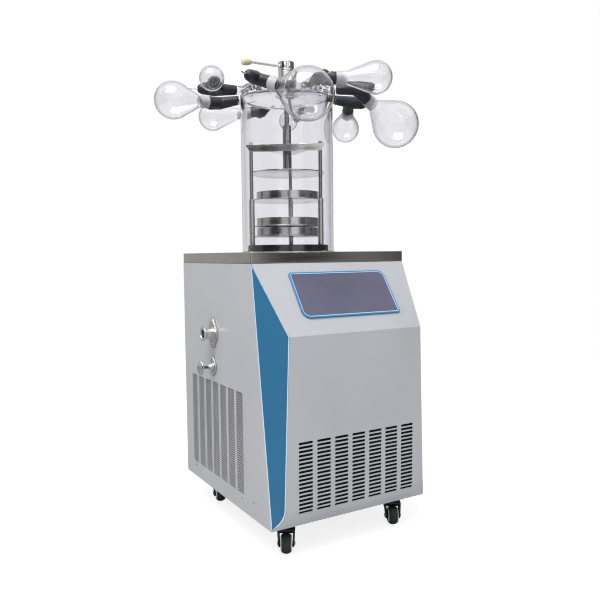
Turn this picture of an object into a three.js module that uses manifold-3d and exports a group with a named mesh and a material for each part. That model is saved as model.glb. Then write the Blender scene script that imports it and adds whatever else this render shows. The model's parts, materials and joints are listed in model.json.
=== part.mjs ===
// Floor-standing laboratory freeze dryer with a clear drying chamber, a top-press shelf rack and
// eight rubber flask valves. Millimetres, +Z up, the front of the cabinet faces -Y. The model is
// built about the vertical axis of the chamber and moved at the end, so that the origin lies on the
// floor under the middle of the whole object's box.
import * as THREE from "three";
import { mergeVertices } from "three/addons/utils/BufferGeometryUtils.js";
import Module from "manifold-3d";

const wasm = await Module();
wasm.setup();

// ---------------------------------------------------------------- driving dimensions

const GAP = 0.3; // between faces that touch on the real object
const RUNNING = 0.5; // around shafts, posts and plugs

const WORKTOP_TOP = 737; // height above the floor
const WORKTOP_WIDTH = 465;
const WORKTOP_DEPTH = 453;
const WORKTOP_THICK = 28;
const SHEET = 1.5; // folded sheet steel
const CABINET_BOTTOM = 79;

const CREASE_DROP = 168; // from the underside of the worktop down to the crease of the fascia
const CREASE_OUT = 119; // how far the crease stands in front of the worktop
const CREASE_INSET = 38; // narrowing of the fascia on each side at the crease
const BEND_OUT = 114.3; // where the bottom bend begins
const BEND_RADIUS = 60;
const BEND_TURN = 0.663;
const BEND_STEPS = 4;
const FOOT_OUT = 86.5; // how far the lower edge stands in front of the worktop
const CHEEK_SHARE = 0.7; // inset of the fascia's edge for each unit in front of the side panel
const CHEEK_TOP_GAP = 6;
const CHEEK_FOOT_GAP = 4;

const VENT_COLUMNS = 7;
const VENT_BRIDGE = 11.4; // between columns
const VENT_MARGIN = 22; // from the fascia's edge at the crease to the outer columns
const VENT_ROWS = 18;
const VENT_PITCH = 9.79;
const VENT_SLOT = 4.7;
const VENT_LOWEST = 121; // height of the lowest row's middle above the floor

const DISPLAY_WIDTH = 290;
const DISPLAY_HEIGHT = 131;
const DISPLAY_THICK = 4;
const DISPLAY_ROUND = 22; // lower left and upper right corners
const DISPLAY_TIGHT = 8; // the other two
const DISPLAY_FROM_TOP = 30; // down the slope from the worktop
const DISPLAY_SHIFT = 3; // to the right of the middle
const DISPLAY_RIM = 5;
const DISPLAY_SINK = 1.2;

const WHEEL_RADIUS = 25;
const WHEEL_WIDTH = 28;
const AXLE_RADIUS = 4;
const FORK_WIDTH = 44;
const FORK_SHEET = 5;
const FORK_CLEAR = 5; // from the tread up to the crown
const FORK_TRAIL = 15;
const FORK_LEAN = 0.066; // of each leg, inwards for each unit down from the crown
const CASTER_INSET = 67.5; // from the cabinet's sides
const FRONT_CASTER_OUT = 37.5; // swivel axis in front of the worktop's front edge
const REAR_CASTER_INSET = 85.5; // swivel axis in front of the rear panel
const FRONT_CASTER_TURN = -0.53;
const REAR_CASTER_TURN = -0.35;

const PORT_HEIGHT = 519.5;
const PORT_BACK = 5; // behind the chamber's axis
const PORT_TUBE_RADIUS = 14;
const PORT_BORE_RADIUS = 12;
const PORT_FLANGE_RADIUS = 20;
const PORT_LENGTH = 34;
const DRAIN_HEIGHT = 427;
const DRAIN_BACK = 10;
const DRAIN_KNOB_RADIUS = 21;
const DRAIN_REACH = 44;

const TUBE_RADIUS = 130;
const TUBE_WALL = 8;
const CHAMBER_HEIGHT = 430; // underside of the lid above the worktop
const LID_THICK = 28;
const WELL_DEPTH = 250;
const WELL_WALL = 2;
const SEAT_DEPTH = 0.3; // of the recess in the worktop that the well's flange sits in
const VALVE_COUNT = 8;
const STUB_RADIUS = 12;
const STUB_BORE = 5;
const STUB_LENGTH = 20;
const STUB_RISE = 14; // stub axis above the lid's underside
const NIPPLE_RADIUS = 8;
const NIPPLE_LENGTH = 18;

const HOUSING_RADIUS = 22;
const HOUSING_HEIGHT = 48.4;
const SPIGOT_RADIUS = 18; // of the housing, where it passes through the lid
const LEVER_CAP_HEIGHT = 26;
const LEVER_RISE = 13; // lever axis above the cap's underside
const LEVER_RADIUS = 3.5;
const LEVER_REACH = 124; // from the chamber's axis to the middle of the lever's knob
const LEVER_TURN = -1.58;
const LEVER_KNOB_LENGTH = 28;
const LEVER_KNOB_RADIUS = 11;
const SPINDLE_RADIUS = 6.5;

const RACK_TURN = -0.6;
const RING_WIDTH = 18;
const RING_HEIGHT = 18;
const POST_RADIUS = 4.75;
const SPACER_RADIUS = 7.2;
const SHELF_THICK = 2;
const SHELF_TOPS = [46, 74, 147]; // above the worktop
const TRAY_CLEAR = 12; // from a tray to the spacers
const TRAY_HEIGHT = 22;
const TRAY_WALL = 1.5;
const BRIDGE_TOP = 297;
const BRIDGE_THICK = 4;
const BRIDGE_LIP = 20; // depth of its folded front edge
const SLEEVE_RADIUS = 12;
const SLEEVE_TOP = 357;
const SLEEVE_SOCKET = 15;
const PRESS_TOP = 224;
const PRESS_THICK = 3;
const PRESS_HUB_RADIUS = 20;

const VALVE_TURN = -0.9; // azimuth of the first valve from the front, anticlockwise from above
const VALVE_DROOP = 0.052;
const BARREL_LENGTH = 87;
const BARREL_RADIUS = 18;
const BARREL_MOUTH = 13;
const BARREL_END = 15; // where the turning nose begins
const ARM_FROM = 50; // along the barrel, where the side arm's axis leaves it
const ARM_REACH = 48; // from the barrel's axis to the arm's shoulder
const ARM_RADIUS = 16.5;
const TIP_RADIUS = 14;
const TIP_LENGTH = 20;
const NOSE_LENGTH = 20;
const SHANK_RADIUS = 7.5;
const SHANK_LENGTH = 20;
const VENT_TUBE_RADIUS = 2;
const VENT_TUBE_LENGTH = 28;
const NECK_WALL = 3;
const GLASS = 2.2;
const FLASK_SIDES = 12;
const FLASK_STEPS = 5;

// Flask sizes: bulb radius, the bulb's centre from the flask's mouth, and the neck's length.
const FLASKS = {
  ml100: { bulb: 32, reach: 55, neck: 22 },
  ml250: { bulb: 42.5, reach: 105, neck: 28 },
  ml500: { bulb: 52.5, reach: 107, neck: 28 },
  ml1000: { bulb: 65.5, reach: 120, neck: 28 },
};

// Each valve's flask, the tilt of its side arm from the barrel, and the arm's turn about the
// barrel, from straight down towards the next valve.
const VALVES = [
  { flask: "ml1000", tilt: 1.32, roll: 1.2 },
  { flask: "ml250", tilt: 1.26, roll: 1.62 },
  { flask: "ml1000", tilt: 1.01, roll: 1.01 },
  { flask: "ml250", tilt: 1.16, roll: 1.23 },
  { flask: "ml100", tilt: 1.13, roll: 1.4 },
  { flask: "ml250", tilt: 1.15, roll: 1.47 },
  { flask: "ml500", tilt: 0.91, roll: 1.53 },
  { flask: "ml100", tilt: 1.12, roll: 1.62 },
];

// ---------------------------------------------------------------- worked-out sizes

const HALF_WIDTH = WORKTOP_WIDTH / 2;
const FRONT = -WORKTOP_DEPTH / 2;
const REAR = WORKTOP_DEPTH / 2;
const CABINET_TOP = WORKTOP_TOP - WORKTOP_THICK;
const SLOPE_ANGLE = Math.atan2(CREASE_DROP, CREASE_OUT); // of the slope's normal from vertical
const EDGE_INSET = SHEET + GAP; // of a sheet that ends against the inside of a side panel

// Heights in the chamber are measured from the worktop's top face.
const TUBE_INNER = TUBE_RADIUS - TUBE_WALL;
const WELL_RADIUS = TUBE_INNER - 12;
const WELL_FLANGE = TUBE_RADIUS + 4;
const WELL_TOP = GAP - SEAT_DEPTH + WELL_WALL;
const RING_RADIUS = TUBE_INNER - 7;
const RING_TOP = WELL_TOP + GAP + RING_HEIGHT;
const POST_CIRCLE = TUBE_INNER - 13.5;
const SHELF_RADIUS = POST_CIRCLE - 3;
const TRAY_RADIUS = POST_CIRCLE - SPACER_RADIUS - TRAY_CLEAR;
const BRIDGE_FRONT = POST_CIRCLE / 2 + POST_RADIUS + RUNNING + SHEET;
const BRIDGE_HALF = Math.sqrt((TUBE_INNER - 2 * GAP) ** 2 - BRIDGE_FRONT ** 2);
const STUD_RADIUS = POST_RADIUS - 1.5; // of a post where it passes through the top plate
const LID_TOP = CHAMBER_HEIGHT + LID_THICK;
const CAP_LOW = LID_TOP + GAP + HOUSING_HEIGHT + GAP;

// ---------------------------------------------------------------- finishes

function finish(color, roughness, metalness, opacity = 1) {
  return new THREE.MeshStandardMaterial({
    color,
    roughness,
    metalness,
    opacity,
    transparent: opacity < 1,
  });
}

const STAINLESS = finish(0x8d8f8f, 0.3, 1);
const POLISHED = finish(0xc9cccc, 0.12, 1);
const GREY_PAINT = finish(0xb0b0b5, 0.5, 0.1);
const BLUE_PAINT = finish(0x34719a, 0.45, 0.1);
const DARK_WINDOW = finish(0x4c4a63, 0.15, 0);
const CLEAR = finish(0xf2f4f8, 0.05, 0, 0.25);
const RUBBER = finish(0x1c2126, 0.55, 0);
const TREAD = finish(0x2c2e30, 0.7, 0);
const IVORY = finish(0xe6e0bd, 0.4, 0);
const DARK_PLASTIC = finish(0x232427, 0.5, 0);

// ---------------------------------------------------------------- solids

/** The manifold solid of a closed geometry. */
function solid(geometry) {
  const flat = geometry.index ? geometry.toNonIndexed() : geometry.clone();
  flat.deleteAttribute("normal");
  flat.deleteAttribute("uv");
  const merged = mergeVertices(flat);
  return new wasm.Manifold(
    new wasm.Mesh({
      numProp: 3,
      vertProperties: merged.attributes.position.array,
      triVerts: new Uint32Array(merged.index.array),
    }),
  );
}

/** The geometry of a manifold solid. */
function geometryOf(body) {
  const mesh = body.getMesh();
  const geometry = new THREE.BufferGeometry();
  geometry.setAttribute("position", new THREE.BufferAttribute(mesh.vertProperties, 3));
  geometry.setIndex(new THREE.BufferAttribute(mesh.triVerts, 1));
  const faceted = geometry.toNonIndexed();
  faceted.computeVertexNormals();
  return faceted;
}

/** The first geometry with the others added to it. */
function joined(first, ...others) {
  return geometryOf(others.reduce((body, other) => body.add(solid(other)), solid(first)));
}

/** The first geometry with the others cut from it. */
function cut(first, ...others) {
  return geometryOf(others.reduce((body, other) => body.subtract(solid(other)), solid(first)));
}

/** A solid of revolution about Z. The profile holds [radius, height] pairs, outside upwards. */
function turned(profile, sides = 24) {
  const points = profile.map(([radius, height]) => new THREE.Vector2(radius, height));
  return new THREE.LatheGeometry(points, sides).rotateX(Math.PI / 2);
}

/** An upright round bar, tapered where the two radii differ. */
function bar(radius, low, high, sides = 16, topRadius = radius) {
  return turned([[0, low], [radius, low], [topRadius, high], [0, high]], sides);
}

/** A box between two corners. */
function block(low, high) {
  const size = high.map((value, axis) => value - low[axis]);
  return new THREE.BoxGeometry(...size).translate(...low.map((value, axis) => value + size[axis] / 2));
}

/** An outline given as [x, y] pairs, extruded upwards. */
function prism(outline, depth) {
  const shape = new THREE.Shape(outline.map(([x, y]) => new THREE.Vector2(x, y)));
  return new THREE.ExtrudeGeometry(shape, { depth, bevelEnabled: false });
}

/** A centred rectangle with two large and two small round corners, extruded upwards. */
function roundedSlab(width, height, large, small, depth) {
  const x = width / 2;
  const y = height / 2;
  const quarter = Math.PI / 2;
  const shape = new THREE.Shape();
  shape.absarc(-x + large, -y + large, large, 2 * quarter, 3 * quarter);
  shape.absarc(x - small, -y + small, small, 3 * quarter, 4 * quarter);
  shape.absarc(x - large, y - large, large, 0, quarter);
  shape.absarc(-x + small, y - small, small, quarter, 2 * quarter);
  return new THREE.ExtrudeGeometry(shape, { depth, bevelEnabled: false, curveSegments: 3 });
}

/** A closed skin over rings of four corners, listed so that the skin faces out. */
function lofted(rings) {
  const positions = rings.flat(2);
  const index = [];
  const corners = rings[0].length;
  for (let ring = 0; ring + 1 < rings.length; ring++) {
    for (let corner = 0; corner < corners; corner++) {
      const a = ring * corners + corner;
      const b = ring * corners + ((corner + 1) % corners);
      index.push(a, b, b + corners, a, b + corners, a + corners);
    }
  }
  const last = (rings.length - 1) * corners;
  for (let corner = 1; corner + 1 < corners; corner++) {
    index.push(0, corner + 1, corner);
    index.push(last, last + corner, last + corner + 1);
  }
  const geometry = new THREE.BufferGeometry();
  geometry.setAttribute("position", new THREE.Float32BufferAttribute(positions, 3));
  geometry.setIndex(index);
  return geometry;
}

/** The turn that lays a piece built along +Z along another direction. */
function turnTo(direction) {
  return new THREE.Quaternion().setFromUnitVectors(new THREE.Vector3(0, 0, 1), direction);
}

function named(name, geometry, material) {
  const mesh = new THREE.Mesh(geometry, material);
  mesh.name = name;
  return mesh;
}

// ---------------------------------------------------------------- cabinet

/** How far the side panels' slanted front edge stands in front of the worktop at a height. */
function sideEdgeOut(z) {
  return (FOOT_OUT * (CABINET_TOP - z)) / (CABINET_TOP - CABINET_BOTTOM);
}

/** Stations of the folded front from top to bottom: height, stand-out and inset on each side. */
function frontStations() {
  const arcEndOut = BEND_OUT - BEND_RADIUS * (1 - Math.cos(BEND_TURN));
  const arcEnd = CABINET_BOTTOM + (arcEndOut - FOOT_OUT) / Math.tan(BEND_TURN);
  const arcStart = arcEnd + BEND_RADIUS * Math.sin(BEND_TURN);
  const stations = [
    { z: CABINET_TOP - GAP, out: 0, inset: EDGE_INSET },
    { z: CABINET_TOP - CREASE_DROP, out: CREASE_OUT, inset: CREASE_INSET },
  ];
  const place = (z, out) => {
    const inset = Math.max(CHEEK_SHARE * (out - sideEdgeOut(z)), EDGE_INSET);
    stations.push({ z, out, inset });
  };
  for (let step = 0; step <= BEND_STEPS; step++) {
    const turn = (BEND_TURN * step) / BEND_STEPS;
    place(arcStart - BEND_RADIUS * Math.sin(turn), BEND_OUT - BEND_RADIUS * (1 - Math.cos(turn)));
  }
  place(CABINET_BOTTOM, FOOT_OUT);
  return stations;
}

/** The station between two others at a height. */
function stationAt(stations, z) {
  const lower = stations.findIndex((station) => station.z <= z);
  const [from, to] = [stations[lower - 1], stations[lower]];
  const share = (from.z - z) / (from.z - to.z);
  const blend = (key) => from[key] + (to[key] - from[key]) * share;
  return { z, out: blend("out"), inset: blend("inset") };
}

/** Inward offset of the front's section at a station, as stand-out and height, for a unit sheet. */
function inwardAt(stations, at) {
  const edges = [];
  if (at > 0) edges.push([stations[at - 1], stations[at]]);
  if (at + 1 < stations.length) edges.push([stations[at], stations[at + 1]]);
  const normals = edges.map(([upper, lower]) => {
    const run = new THREE.Vector2(lower.out - upper.out, lower.z - upper.z);
    return new THREE.Vector2(run.y, -run.x).normalize();
  });
  const mean = normals.reduce((sum, normal) => sum.clone().add(normal)).normalize();
  return mean.divideScalar(mean.dot(normals[0]));
}

/** The slots of the front vents, as one block of prisms running through the fascia. */
function frontVents() {
  const span = WORKTOP_WIDTH - 2 * (CREASE_INSET + VENT_MARGIN);
  const pitch = (span + VENT_BRIDGE) / VENT_COLUMNS;
  const x = (pitch - VENT_BRIDGE) / 2;
  const y = VENT_SLOT / 2;
  const reach = 60;
  const slots = [];
  for (let column = 0; column < VENT_COLUMNS; column++) {
    const middle = (column - (VENT_COLUMNS - 1) / 2) * pitch;
    for (let row = 0; row < VENT_ROWS; row++) {
      const height = VENT_LOWEST + row * VENT_PITCH;
      const corners = [[-x, -y], [x, -y], [x, y], [-x, y]];
      slots.push(new THREE.Shape(corners.map(([a, b]) => new THREE.Vector2(middle + a, height + b))));
    }
  }
  const prisms = new THREE.ExtrudeGeometry(slots, { depth: reach, bevelEnabled: false });
  return prisms.rotateX(Math.PI / 2).translate(0, FRONT - BEND_OUT + reach / 2, 0);
}

function frontFascia() {
  const stations = frontStations();
  const rings = stations.map(({ z, out, inset }, at) => {
    const inward = inwardAt(stations, at).multiplyScalar(SHEET);
    const half = HALF_WIDTH - inset;
    const outer = FRONT - out;
    const inner = FRONT - out - inward.x;
    return [
      [-half, outer, z],
      [-half, inner, z + inward.y],
      [half, inner, z + inward.y],
      [half, outer, z],
    ];
  });
  return cut(lofted(rings), frontVents());
}

/** The oblique corner strip between the left side panel and the fascia. */
function cornerCheek() {
  const front = frontStations();
  const top = stationAt(front, CABINET_TOP - CHEEK_TOP_GAP);
  const foot = stationAt(front, CABINET_BOTTOM + CHEEK_FOOT_GAP);
  const rings = [top, ...front.slice(1, -1), foot].map(({ z, out, inset }) => {
    const deep = out - sideEdgeOut(z);
    const length = Math.hypot(deep, inset);
    const rear = FRONT - sideEdgeOut(z) - GAP;
    const rearX = -HALF_WIDTH + (GAP * inset) / deep;
    const frontX = -HALF_WIDTH + inset - 2 * GAP;
    const frontY = FRONT - out + (2 * GAP * deep) / inset;
    return [
      [rearX, rear, z],
      [rearX + (SHEET * length) / deep, rear, z],
      [frontX, frontY + (SHEET * length) / inset, z],
      [frontX, frontY, z],
    ];
  });
  return lofted(rings);
}

/** A side panel lying in the plane X = 0 with its inside towards +X. */
function sidePanel() {
  const outline = [
    [REAR, CABINET_BOTTOM],
    [REAR, CABINET_TOP - GAP],
    [FRONT, CABINET_TOP - GAP],
    [FRONT - FOOT_OUT, CABINET_BOTTOM],
  ];
  return upright(prism(outline, SHEET));
}

/** Turns a plate drawn as [Y, Z] and extruded, so that it stands in the YZ plane. */
function upright(geometry) {
  return geometry.rotateX(Math.PI / 2).rotateZ(Math.PI / 2);
}

/** The base of the cabinet, which the casters are screwed to. */
function basePan() {
  const half = HALF_WIDTH - EDGE_INSET;
  const front = FRONT - FOOT_OUT + SHEET / Math.cos(BEND_TURN) + GAP;
  return block([-half, front, CABINET_BOTTOM], [half, REAR, CABINET_BOTTOM + SHEET]);
}

function rearPanel() {
  const half = HALF_WIDTH - EDGE_INSET;
  const low = CABINET_BOTTOM + SHEET + GAP;
  return block([-half, REAR - SHEET, low], [half, REAR, CABINET_TOP - GAP]);
}

function worktop() {
  const outer = block([-HALF_WIDTH, FRONT, CABINET_TOP], [HALF_WIDTH, REAR, WORKTOP_TOP]);
  const inner = block(
    [-HALF_WIDTH + SHEET, FRONT + SHEET, CABINET_TOP - 1],
    [HALF_WIDTH - SHEET, REAR - SHEET, WORKTOP_TOP - SHEET],
  );
  const hole = bar(WELL_RADIUS + WELL_WALL + 2, CABINET_TOP, WORKTOP_TOP + 1, 32);
  const seat = bar(WELL_FLANGE + 2, WORKTOP_TOP - SEAT_DEPTH, WORKTOP_TOP + 1, 32);
  return cut(outer, inner, hole, seat);
}

function displayWindow() {
  const slab = roundedSlab(DISPLAY_WIDTH, DISPLAY_HEIGHT, DISPLAY_ROUND, DISPLAY_TIGHT, DISPLAY_THICK);
  const recess = roundedSlab(
    DISPLAY_WIDTH - 2 * DISPLAY_RIM,
    DISPLAY_HEIGHT - 2 * DISPLAY_RIM,
    DISPLAY_ROUND - DISPLAY_RIM,
    DISPLAY_TIGHT - DISPLAY_RIM,
    DISPLAY_THICK,
  ).translate(0, 0, DISPLAY_THICK - DISPLAY_SINK);
  return cut(slab, recess);
}

function cabinet() {
  const group = new THREE.Group();
  group.add(named("worktop", worktop(), STAINLESS));
  group.add(named("front_fascia", frontFascia(), GREY_PAINT));
  const cheekRight = named("cheek_right", cornerCheek(), BLUE_PAINT);
  cheekRight.scale.x = -1;
  group.add(named("cheek_left", cornerCheek(), BLUE_PAINT), cheekRight);
  const left = named("side_panel_left", sidePanel(), GREY_PAINT);
  left.position.x = -HALF_WIDTH;
  const right = named("side_panel_right", sidePanel(), GREY_PAINT);
  right.position.x = HALF_WIDTH - SHEET;
  group.add(left, right);
  group.add(named("rear_panel", rearPanel(), GREY_PAINT), named("base_pan", basePan(), GREY_PAINT));

  const slope = new THREE.Group();
  slope.position.set(0, FRONT, CABINET_TOP - GAP);
  slope.rotation.x = SLOPE_ANGLE;
  const display = named("display_window", displayWindow(), DARK_WINDOW);
  display.position.set(DISPLAY_SHIFT, -DISPLAY_FROM_TOP - DISPLAY_HEIGHT / 2, 2 * GAP);
  slope.add(display);
  group.add(slope);
  return group;
}

// ---------------------------------------------------------------- casters

/** A swivel fork with its axle, on its swivel axis, with the axle along X. */
function casterFork() {
  const top = CABINET_BOTTOM - GAP;
  const half = FORK_WIDTH / 2;
  const crown = WHEEL_RADIUS * 2 + FORK_CLEAR;
  const leg = (side) => {
    const outline = [
      [-FORK_TRAIL - 7, WHEEL_RADIUS - 8],
      [-FORK_TRAIL + 7, WHEEL_RADIUS - 8],
      [16, crown],
      [16, crown + FORK_SHEET],
      [-18, crown + FORK_SHEET],
      [-FORK_TRAIL - 9, WHEEL_RADIUS + 4],
    ];
    const x = side < 0 ? -half : half - FORK_SHEET;
    const lean = new THREE.Matrix4().makeShear(0, 0, 0, 0, side * FORK_LEAN, 0);
    const straight = upright(prism(outline, FORK_SHEET)).translate(x, 0, 0);
    return straight.applyMatrix4(lean).translate(-side * FORK_LEAN * crown, 0, 0);
  };
  const bridge = block([-half, -18, crown], [half, 16, crown + FORK_SHEET]);
  const head = bar(16, crown + FORK_SHEET - 1, top - 4, 8);
  const plate = bar(24, top - 5, top, 10);
  const axle = bar(AXLE_RADIUS, -half, half, 6)
    .rotateY(Math.PI / 2)
    .translate(0, -FORK_TRAIL, WHEEL_RADIUS);
  return joined(bridge, leg(-1), leg(1), head, plate, axle);
}

/** A solid wheel about the X axis, with a bore for the axle and dished sides. */
function casterWheel() {
  const half = WHEEL_WIDTH / 2;
  const bore = AXLE_RADIUS + RUNNING;
  const profile = [
    [bore, -half + 2],
    [WHEEL_RADIUS - 9, -half + 2],
    [WHEEL_RADIUS - 7, -half],
    [WHEEL_RADIUS, -half + 6],
    [WHEEL_RADIUS, half - 6],
    [WHEEL_RADIUS - 7, half],
    [WHEEL_RADIUS - 9, half - 2],
    [bore, half - 2],
    [bore, -half + 2],
  ];
  return turned(profile, 14).rotateY(Math.PI / 2);
}

function casters() {
  const group = new THREE.Group();
  const x = HALF_WIDTH - CASTER_INSET;
  const places = [
    ["front_left", -x, FRONT - FRONT_CASTER_OUT, FRONT_CASTER_TURN],
    ["front_right", x, FRONT - FRONT_CASTER_OUT, FRONT_CASTER_TURN],
    ["rear_left", -x, REAR - REAR_CASTER_INSET, REAR_CASTER_TURN],
    ["rear_right", x, REAR - REAR_CASTER_INSET, REAR_CASTER_TURN],
  ];
  for (const [place, px, py, turn] of places) {
    const caster = new THREE.Group();
    caster.position.set(px, py, 0);
    caster.rotation.z = turn;
    const wheel = named(`caster_wheel_${place}`, casterWheel(), TREAD);
    wheel.position.set(0, -FORK_TRAIL, WHEEL_RADIUS);
    caster.add(named(`caster_fork_${place}`, casterFork(), DARK_PLASTIC), wheel);
    group.add(caster);
  }
  return group;
}

// ---------------------------------------------------------------- fittings on the left side

/** A rhombic flange with round ends and two screw heads, lying in XY. */
function rhombicPlate(halfHeight, halfWidth, thick) {
  const end = halfHeight * 0.2;
  const shape = new THREE.Shape();
  const middle = halfWidth;
  shape.absarc(0, halfHeight - end, end, 0.35, Math.PI - 0.35);
  shape.absarc(0, 0, middle, Math.PI - 0.35, Math.PI + 0.35);
  shape.absarc(0, -halfHeight + end, end, Math.PI + 0.35, 2 * Math.PI - 0.35);
  shape.absarc(0, 0, middle, -0.35, 0.35);
  const plate = new THREE.ExtrudeGeometry(shape, { depth: thick, bevelEnabled: false, curveSegments: 3 });
  const screw = (y) => bar(4, thick - 1, thick + 3, 6).translate(0, y, 0);
  const seat = halfHeight - end - 1;
  return joined(plate, screw(seat), screw(-seat));
}

function vacuumPort() {
  const face = PORT_LENGTH;
  const outside = [
    [0, 1],
    [PORT_TUBE_RADIUS, 1],
    [PORT_TUBE_RADIUS, face - 8],
    [PORT_FLANGE_RADIUS, face - 4],
    [PORT_FLANGE_RADIUS, face],
    [0, face],
  ];
  const bore = bar(PORT_BORE_RADIUS, 3, face + 1, 16);
  return cut(joined(rhombicPlate(40, 28, 6), turned(outside, 16)), bore);
}

function drainValveBody() {
  const stem = bar(9, 3, 16, 10, 7);
  const spindle = bar(4, 14, DRAIN_REACH - 10 - GAP, 8);
  return joined(rhombicPlate(27, 21, 5), stem, spindle);
}

/** A polished mushroom knob on the valve's spindle. */
function drainValveKnob() {
  const rim = DRAIN_REACH - 6;
  const profile = [
    [0, DRAIN_REACH - 10],
    [6, DRAIN_REACH - 10],
    [7, rim - 2],
    [DRAIN_KNOB_RADIUS - 2, rim - 2],
    [DRAIN_KNOB_RADIUS, rim + 1],
    [DRAIN_KNOB_RADIUS - 3, rim + 4],
    [DRAIN_KNOB_RADIUS * 0.5, DRAIN_REACH],
    [0, DRAIN_REACH + 0.6],
  ];
  return turned(profile, 18);
}

/** A group on the left panel whose +Z points out of the panel and whose +Y points up. */
function onLeftPanel(back, height) {
  const seat = new THREE.Group();
  seat.position.set(-HALF_WIDTH - GAP, back, height);
  const outward = new THREE.Vector3(-1, 0, 0);
  const up = new THREE.Vector3(0, 0, 1);
  seat.quaternion.setFromRotationMatrix(
    new THREE.Matrix4().makeBasis(up.clone().cross(outward), up, outward),
  );
  return seat;
}

function sideFittings() {
  const group = new THREE.Group();
  const port = onLeftPanel(PORT_BACK, PORT_HEIGHT);
  port.add(named("vacuum_port", vacuumPort(), POLISHED));
  const drain = onLeftPanel(DRAIN_BACK, DRAIN_HEIGHT);
  drain.add(named("drain_valve_body", drainValveBody(), POLISHED));
  drain.add(named("drain_valve_knob", drainValveKnob(), POLISHED));
  group.add(port, drain);
  return group;
}

// ---------------------------------------------------------------- cold trap and chamber

function coldTrapWell() {
  const profile = [
    [0, WELL_TOP - WELL_DEPTH - WELL_WALL],
    [WELL_RADIUS + WELL_WALL, WELL_TOP - WELL_DEPTH - WELL_WALL],
    [WELL_RADIUS + WELL_WALL, WELL_TOP - WELL_WALL],
    [WELL_FLANGE, WELL_TOP - WELL_WALL],
    [WELL_FLANGE, WELL_TOP],
    [WELL_RADIUS, WELL_TOP],
    [WELL_RADIUS, WELL_TOP - WELL_DEPTH],
    [0, WELL_TOP - WELL_DEPTH],
  ];
  return turned(profile, 32);
}

/** A plain ring of rectangular section. */
function ring(inner, outer, low, high, sides) {
  const profile = [
    [inner, low],
    [outer, low],
    [outer, high],
    [inner, high],
    [inner, low],
  ];
  return turned(profile, sides);
}

/** Moves a piece built along +Z from the lid's rim onto a port's drooping axis. */
function ontoPort(geometry, port) {
  const azimuth = VALVE_TURN + (port * 2 * Math.PI) / VALVE_COUNT;
  return geometry
    .rotateX(Math.PI / 2 + VALVE_DROOP)
    .translate(0, -TUBE_RADIUS, CHAMBER_HEIGHT + STUB_RISE)
    .rotateZ(azimuth);
}

/** The clear lid: a thick disc for the press housing, with eight drilled stubs round its rim. */
function chamberLid() {
  const high = LID_TOP;
  const disc = turned(
    [
      [0, CHAMBER_HEIGHT],
      [TUBE_RADIUS, CHAMBER_HEIGHT],
      [TUBE_RADIUS, high - 3],
      [TUBE_RADIUS - 3, high],
      [0, high],
    ],
    40,
  );
  const stubs = [];
  const bores = [bar(SPIGOT_RADIUS + RUNNING, CHAMBER_HEIGHT - 1, high + 1, 16)];
  for (let port = 0; port < VALVE_COUNT; port++) {
    const reach = STUB_LENGTH + NIPPLE_LENGTH;
    const stub = turned(
      [
        [0, -8],
        [STUB_RADIUS, -8],
        [STUB_RADIUS, STUB_LENGTH],
        [NIPPLE_RADIUS, STUB_LENGTH],
        [NIPPLE_RADIUS, reach],
        [0, reach],
      ],
      8,
    );
    stubs.push(ontoPort(stub, port));
    bores.push(ontoPort(bar(STUB_BORE, -30, reach + 1, 6), port));
    const drop = bar(STUB_BORE, CHAMBER_HEIGHT - 1, CHAMBER_HEIGHT + STUB_RISE, 4);
    const azimuth = VALVE_TURN + (port * 2 * Math.PI) / VALVE_COUNT;
    bores.push(drop.translate(0, -TUBE_RADIUS + 30 - STUB_BORE, 0).rotateZ(azimuth));
  }
  return cut(joined(disc, ...stubs), ...bores);
}

function chamber() {
  const group = new THREE.Group();
  const drum = ring(TUBE_INNER, TUBE_RADIUS, WELL_TOP + GAP, CHAMBER_HEIGHT - GAP, 40);
  group.add(named("cold_trap_well", coldTrapWell(), STAINLESS));
  group.add(named("chamber_drum", drum, CLEAR));
  group.add(named("chamber_lid", chamberLid(), CLEAR));
  return group;
}

// ---------------------------------------------------------------- press mechanism

/** The housing of the press screw, on a flange, with a spigot through the lid. */
function pressHousing() {
  const low = LID_TOP + GAP;
  const bore = SPINDLE_RADIUS + RUNNING;
  const profile = [
    [bore, CHAMBER_HEIGHT],
    [SPIGOT_RADIUS, CHAMBER_HEIGHT],
    [SPIGOT_RADIUS, low],
    [HOUSING_RADIUS + 9, low],
    [HOUSING_RADIUS + 9, low + 5],
    [HOUSING_RADIUS, low + 6.5],
    [HOUSING_RADIUS, low + HOUSING_HEIGHT],
    [bore, low + HOUSING_HEIGHT],
    [bore, CHAMBER_HEIGHT],
  ];
  return turned(profile, 16);
}

/** The turning cap of the screw with its lever rod. */
function leverCap() {
  const high = CAP_LOW + LEVER_CAP_HEIGHT;
  const cap = turned(
    [
      [0, CAP_LOW],
      [HOUSING_RADIUS, CAP_LOW],
      [HOUSING_RADIUS, high - 2],
      [HOUSING_RADIUS - 2, high],
      [0, high],
    ],
    16,
  );
  const rod = bar(LEVER_RADIUS, HOUSING_RADIUS - 8, LEVER_REACH, 8)
    .rotateX(Math.PI / 2)
    .translate(0, 0, CAP_LOW + LEVER_RISE)
    .rotateZ(LEVER_TURN);
  return joined(cap, rod);
}

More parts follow.
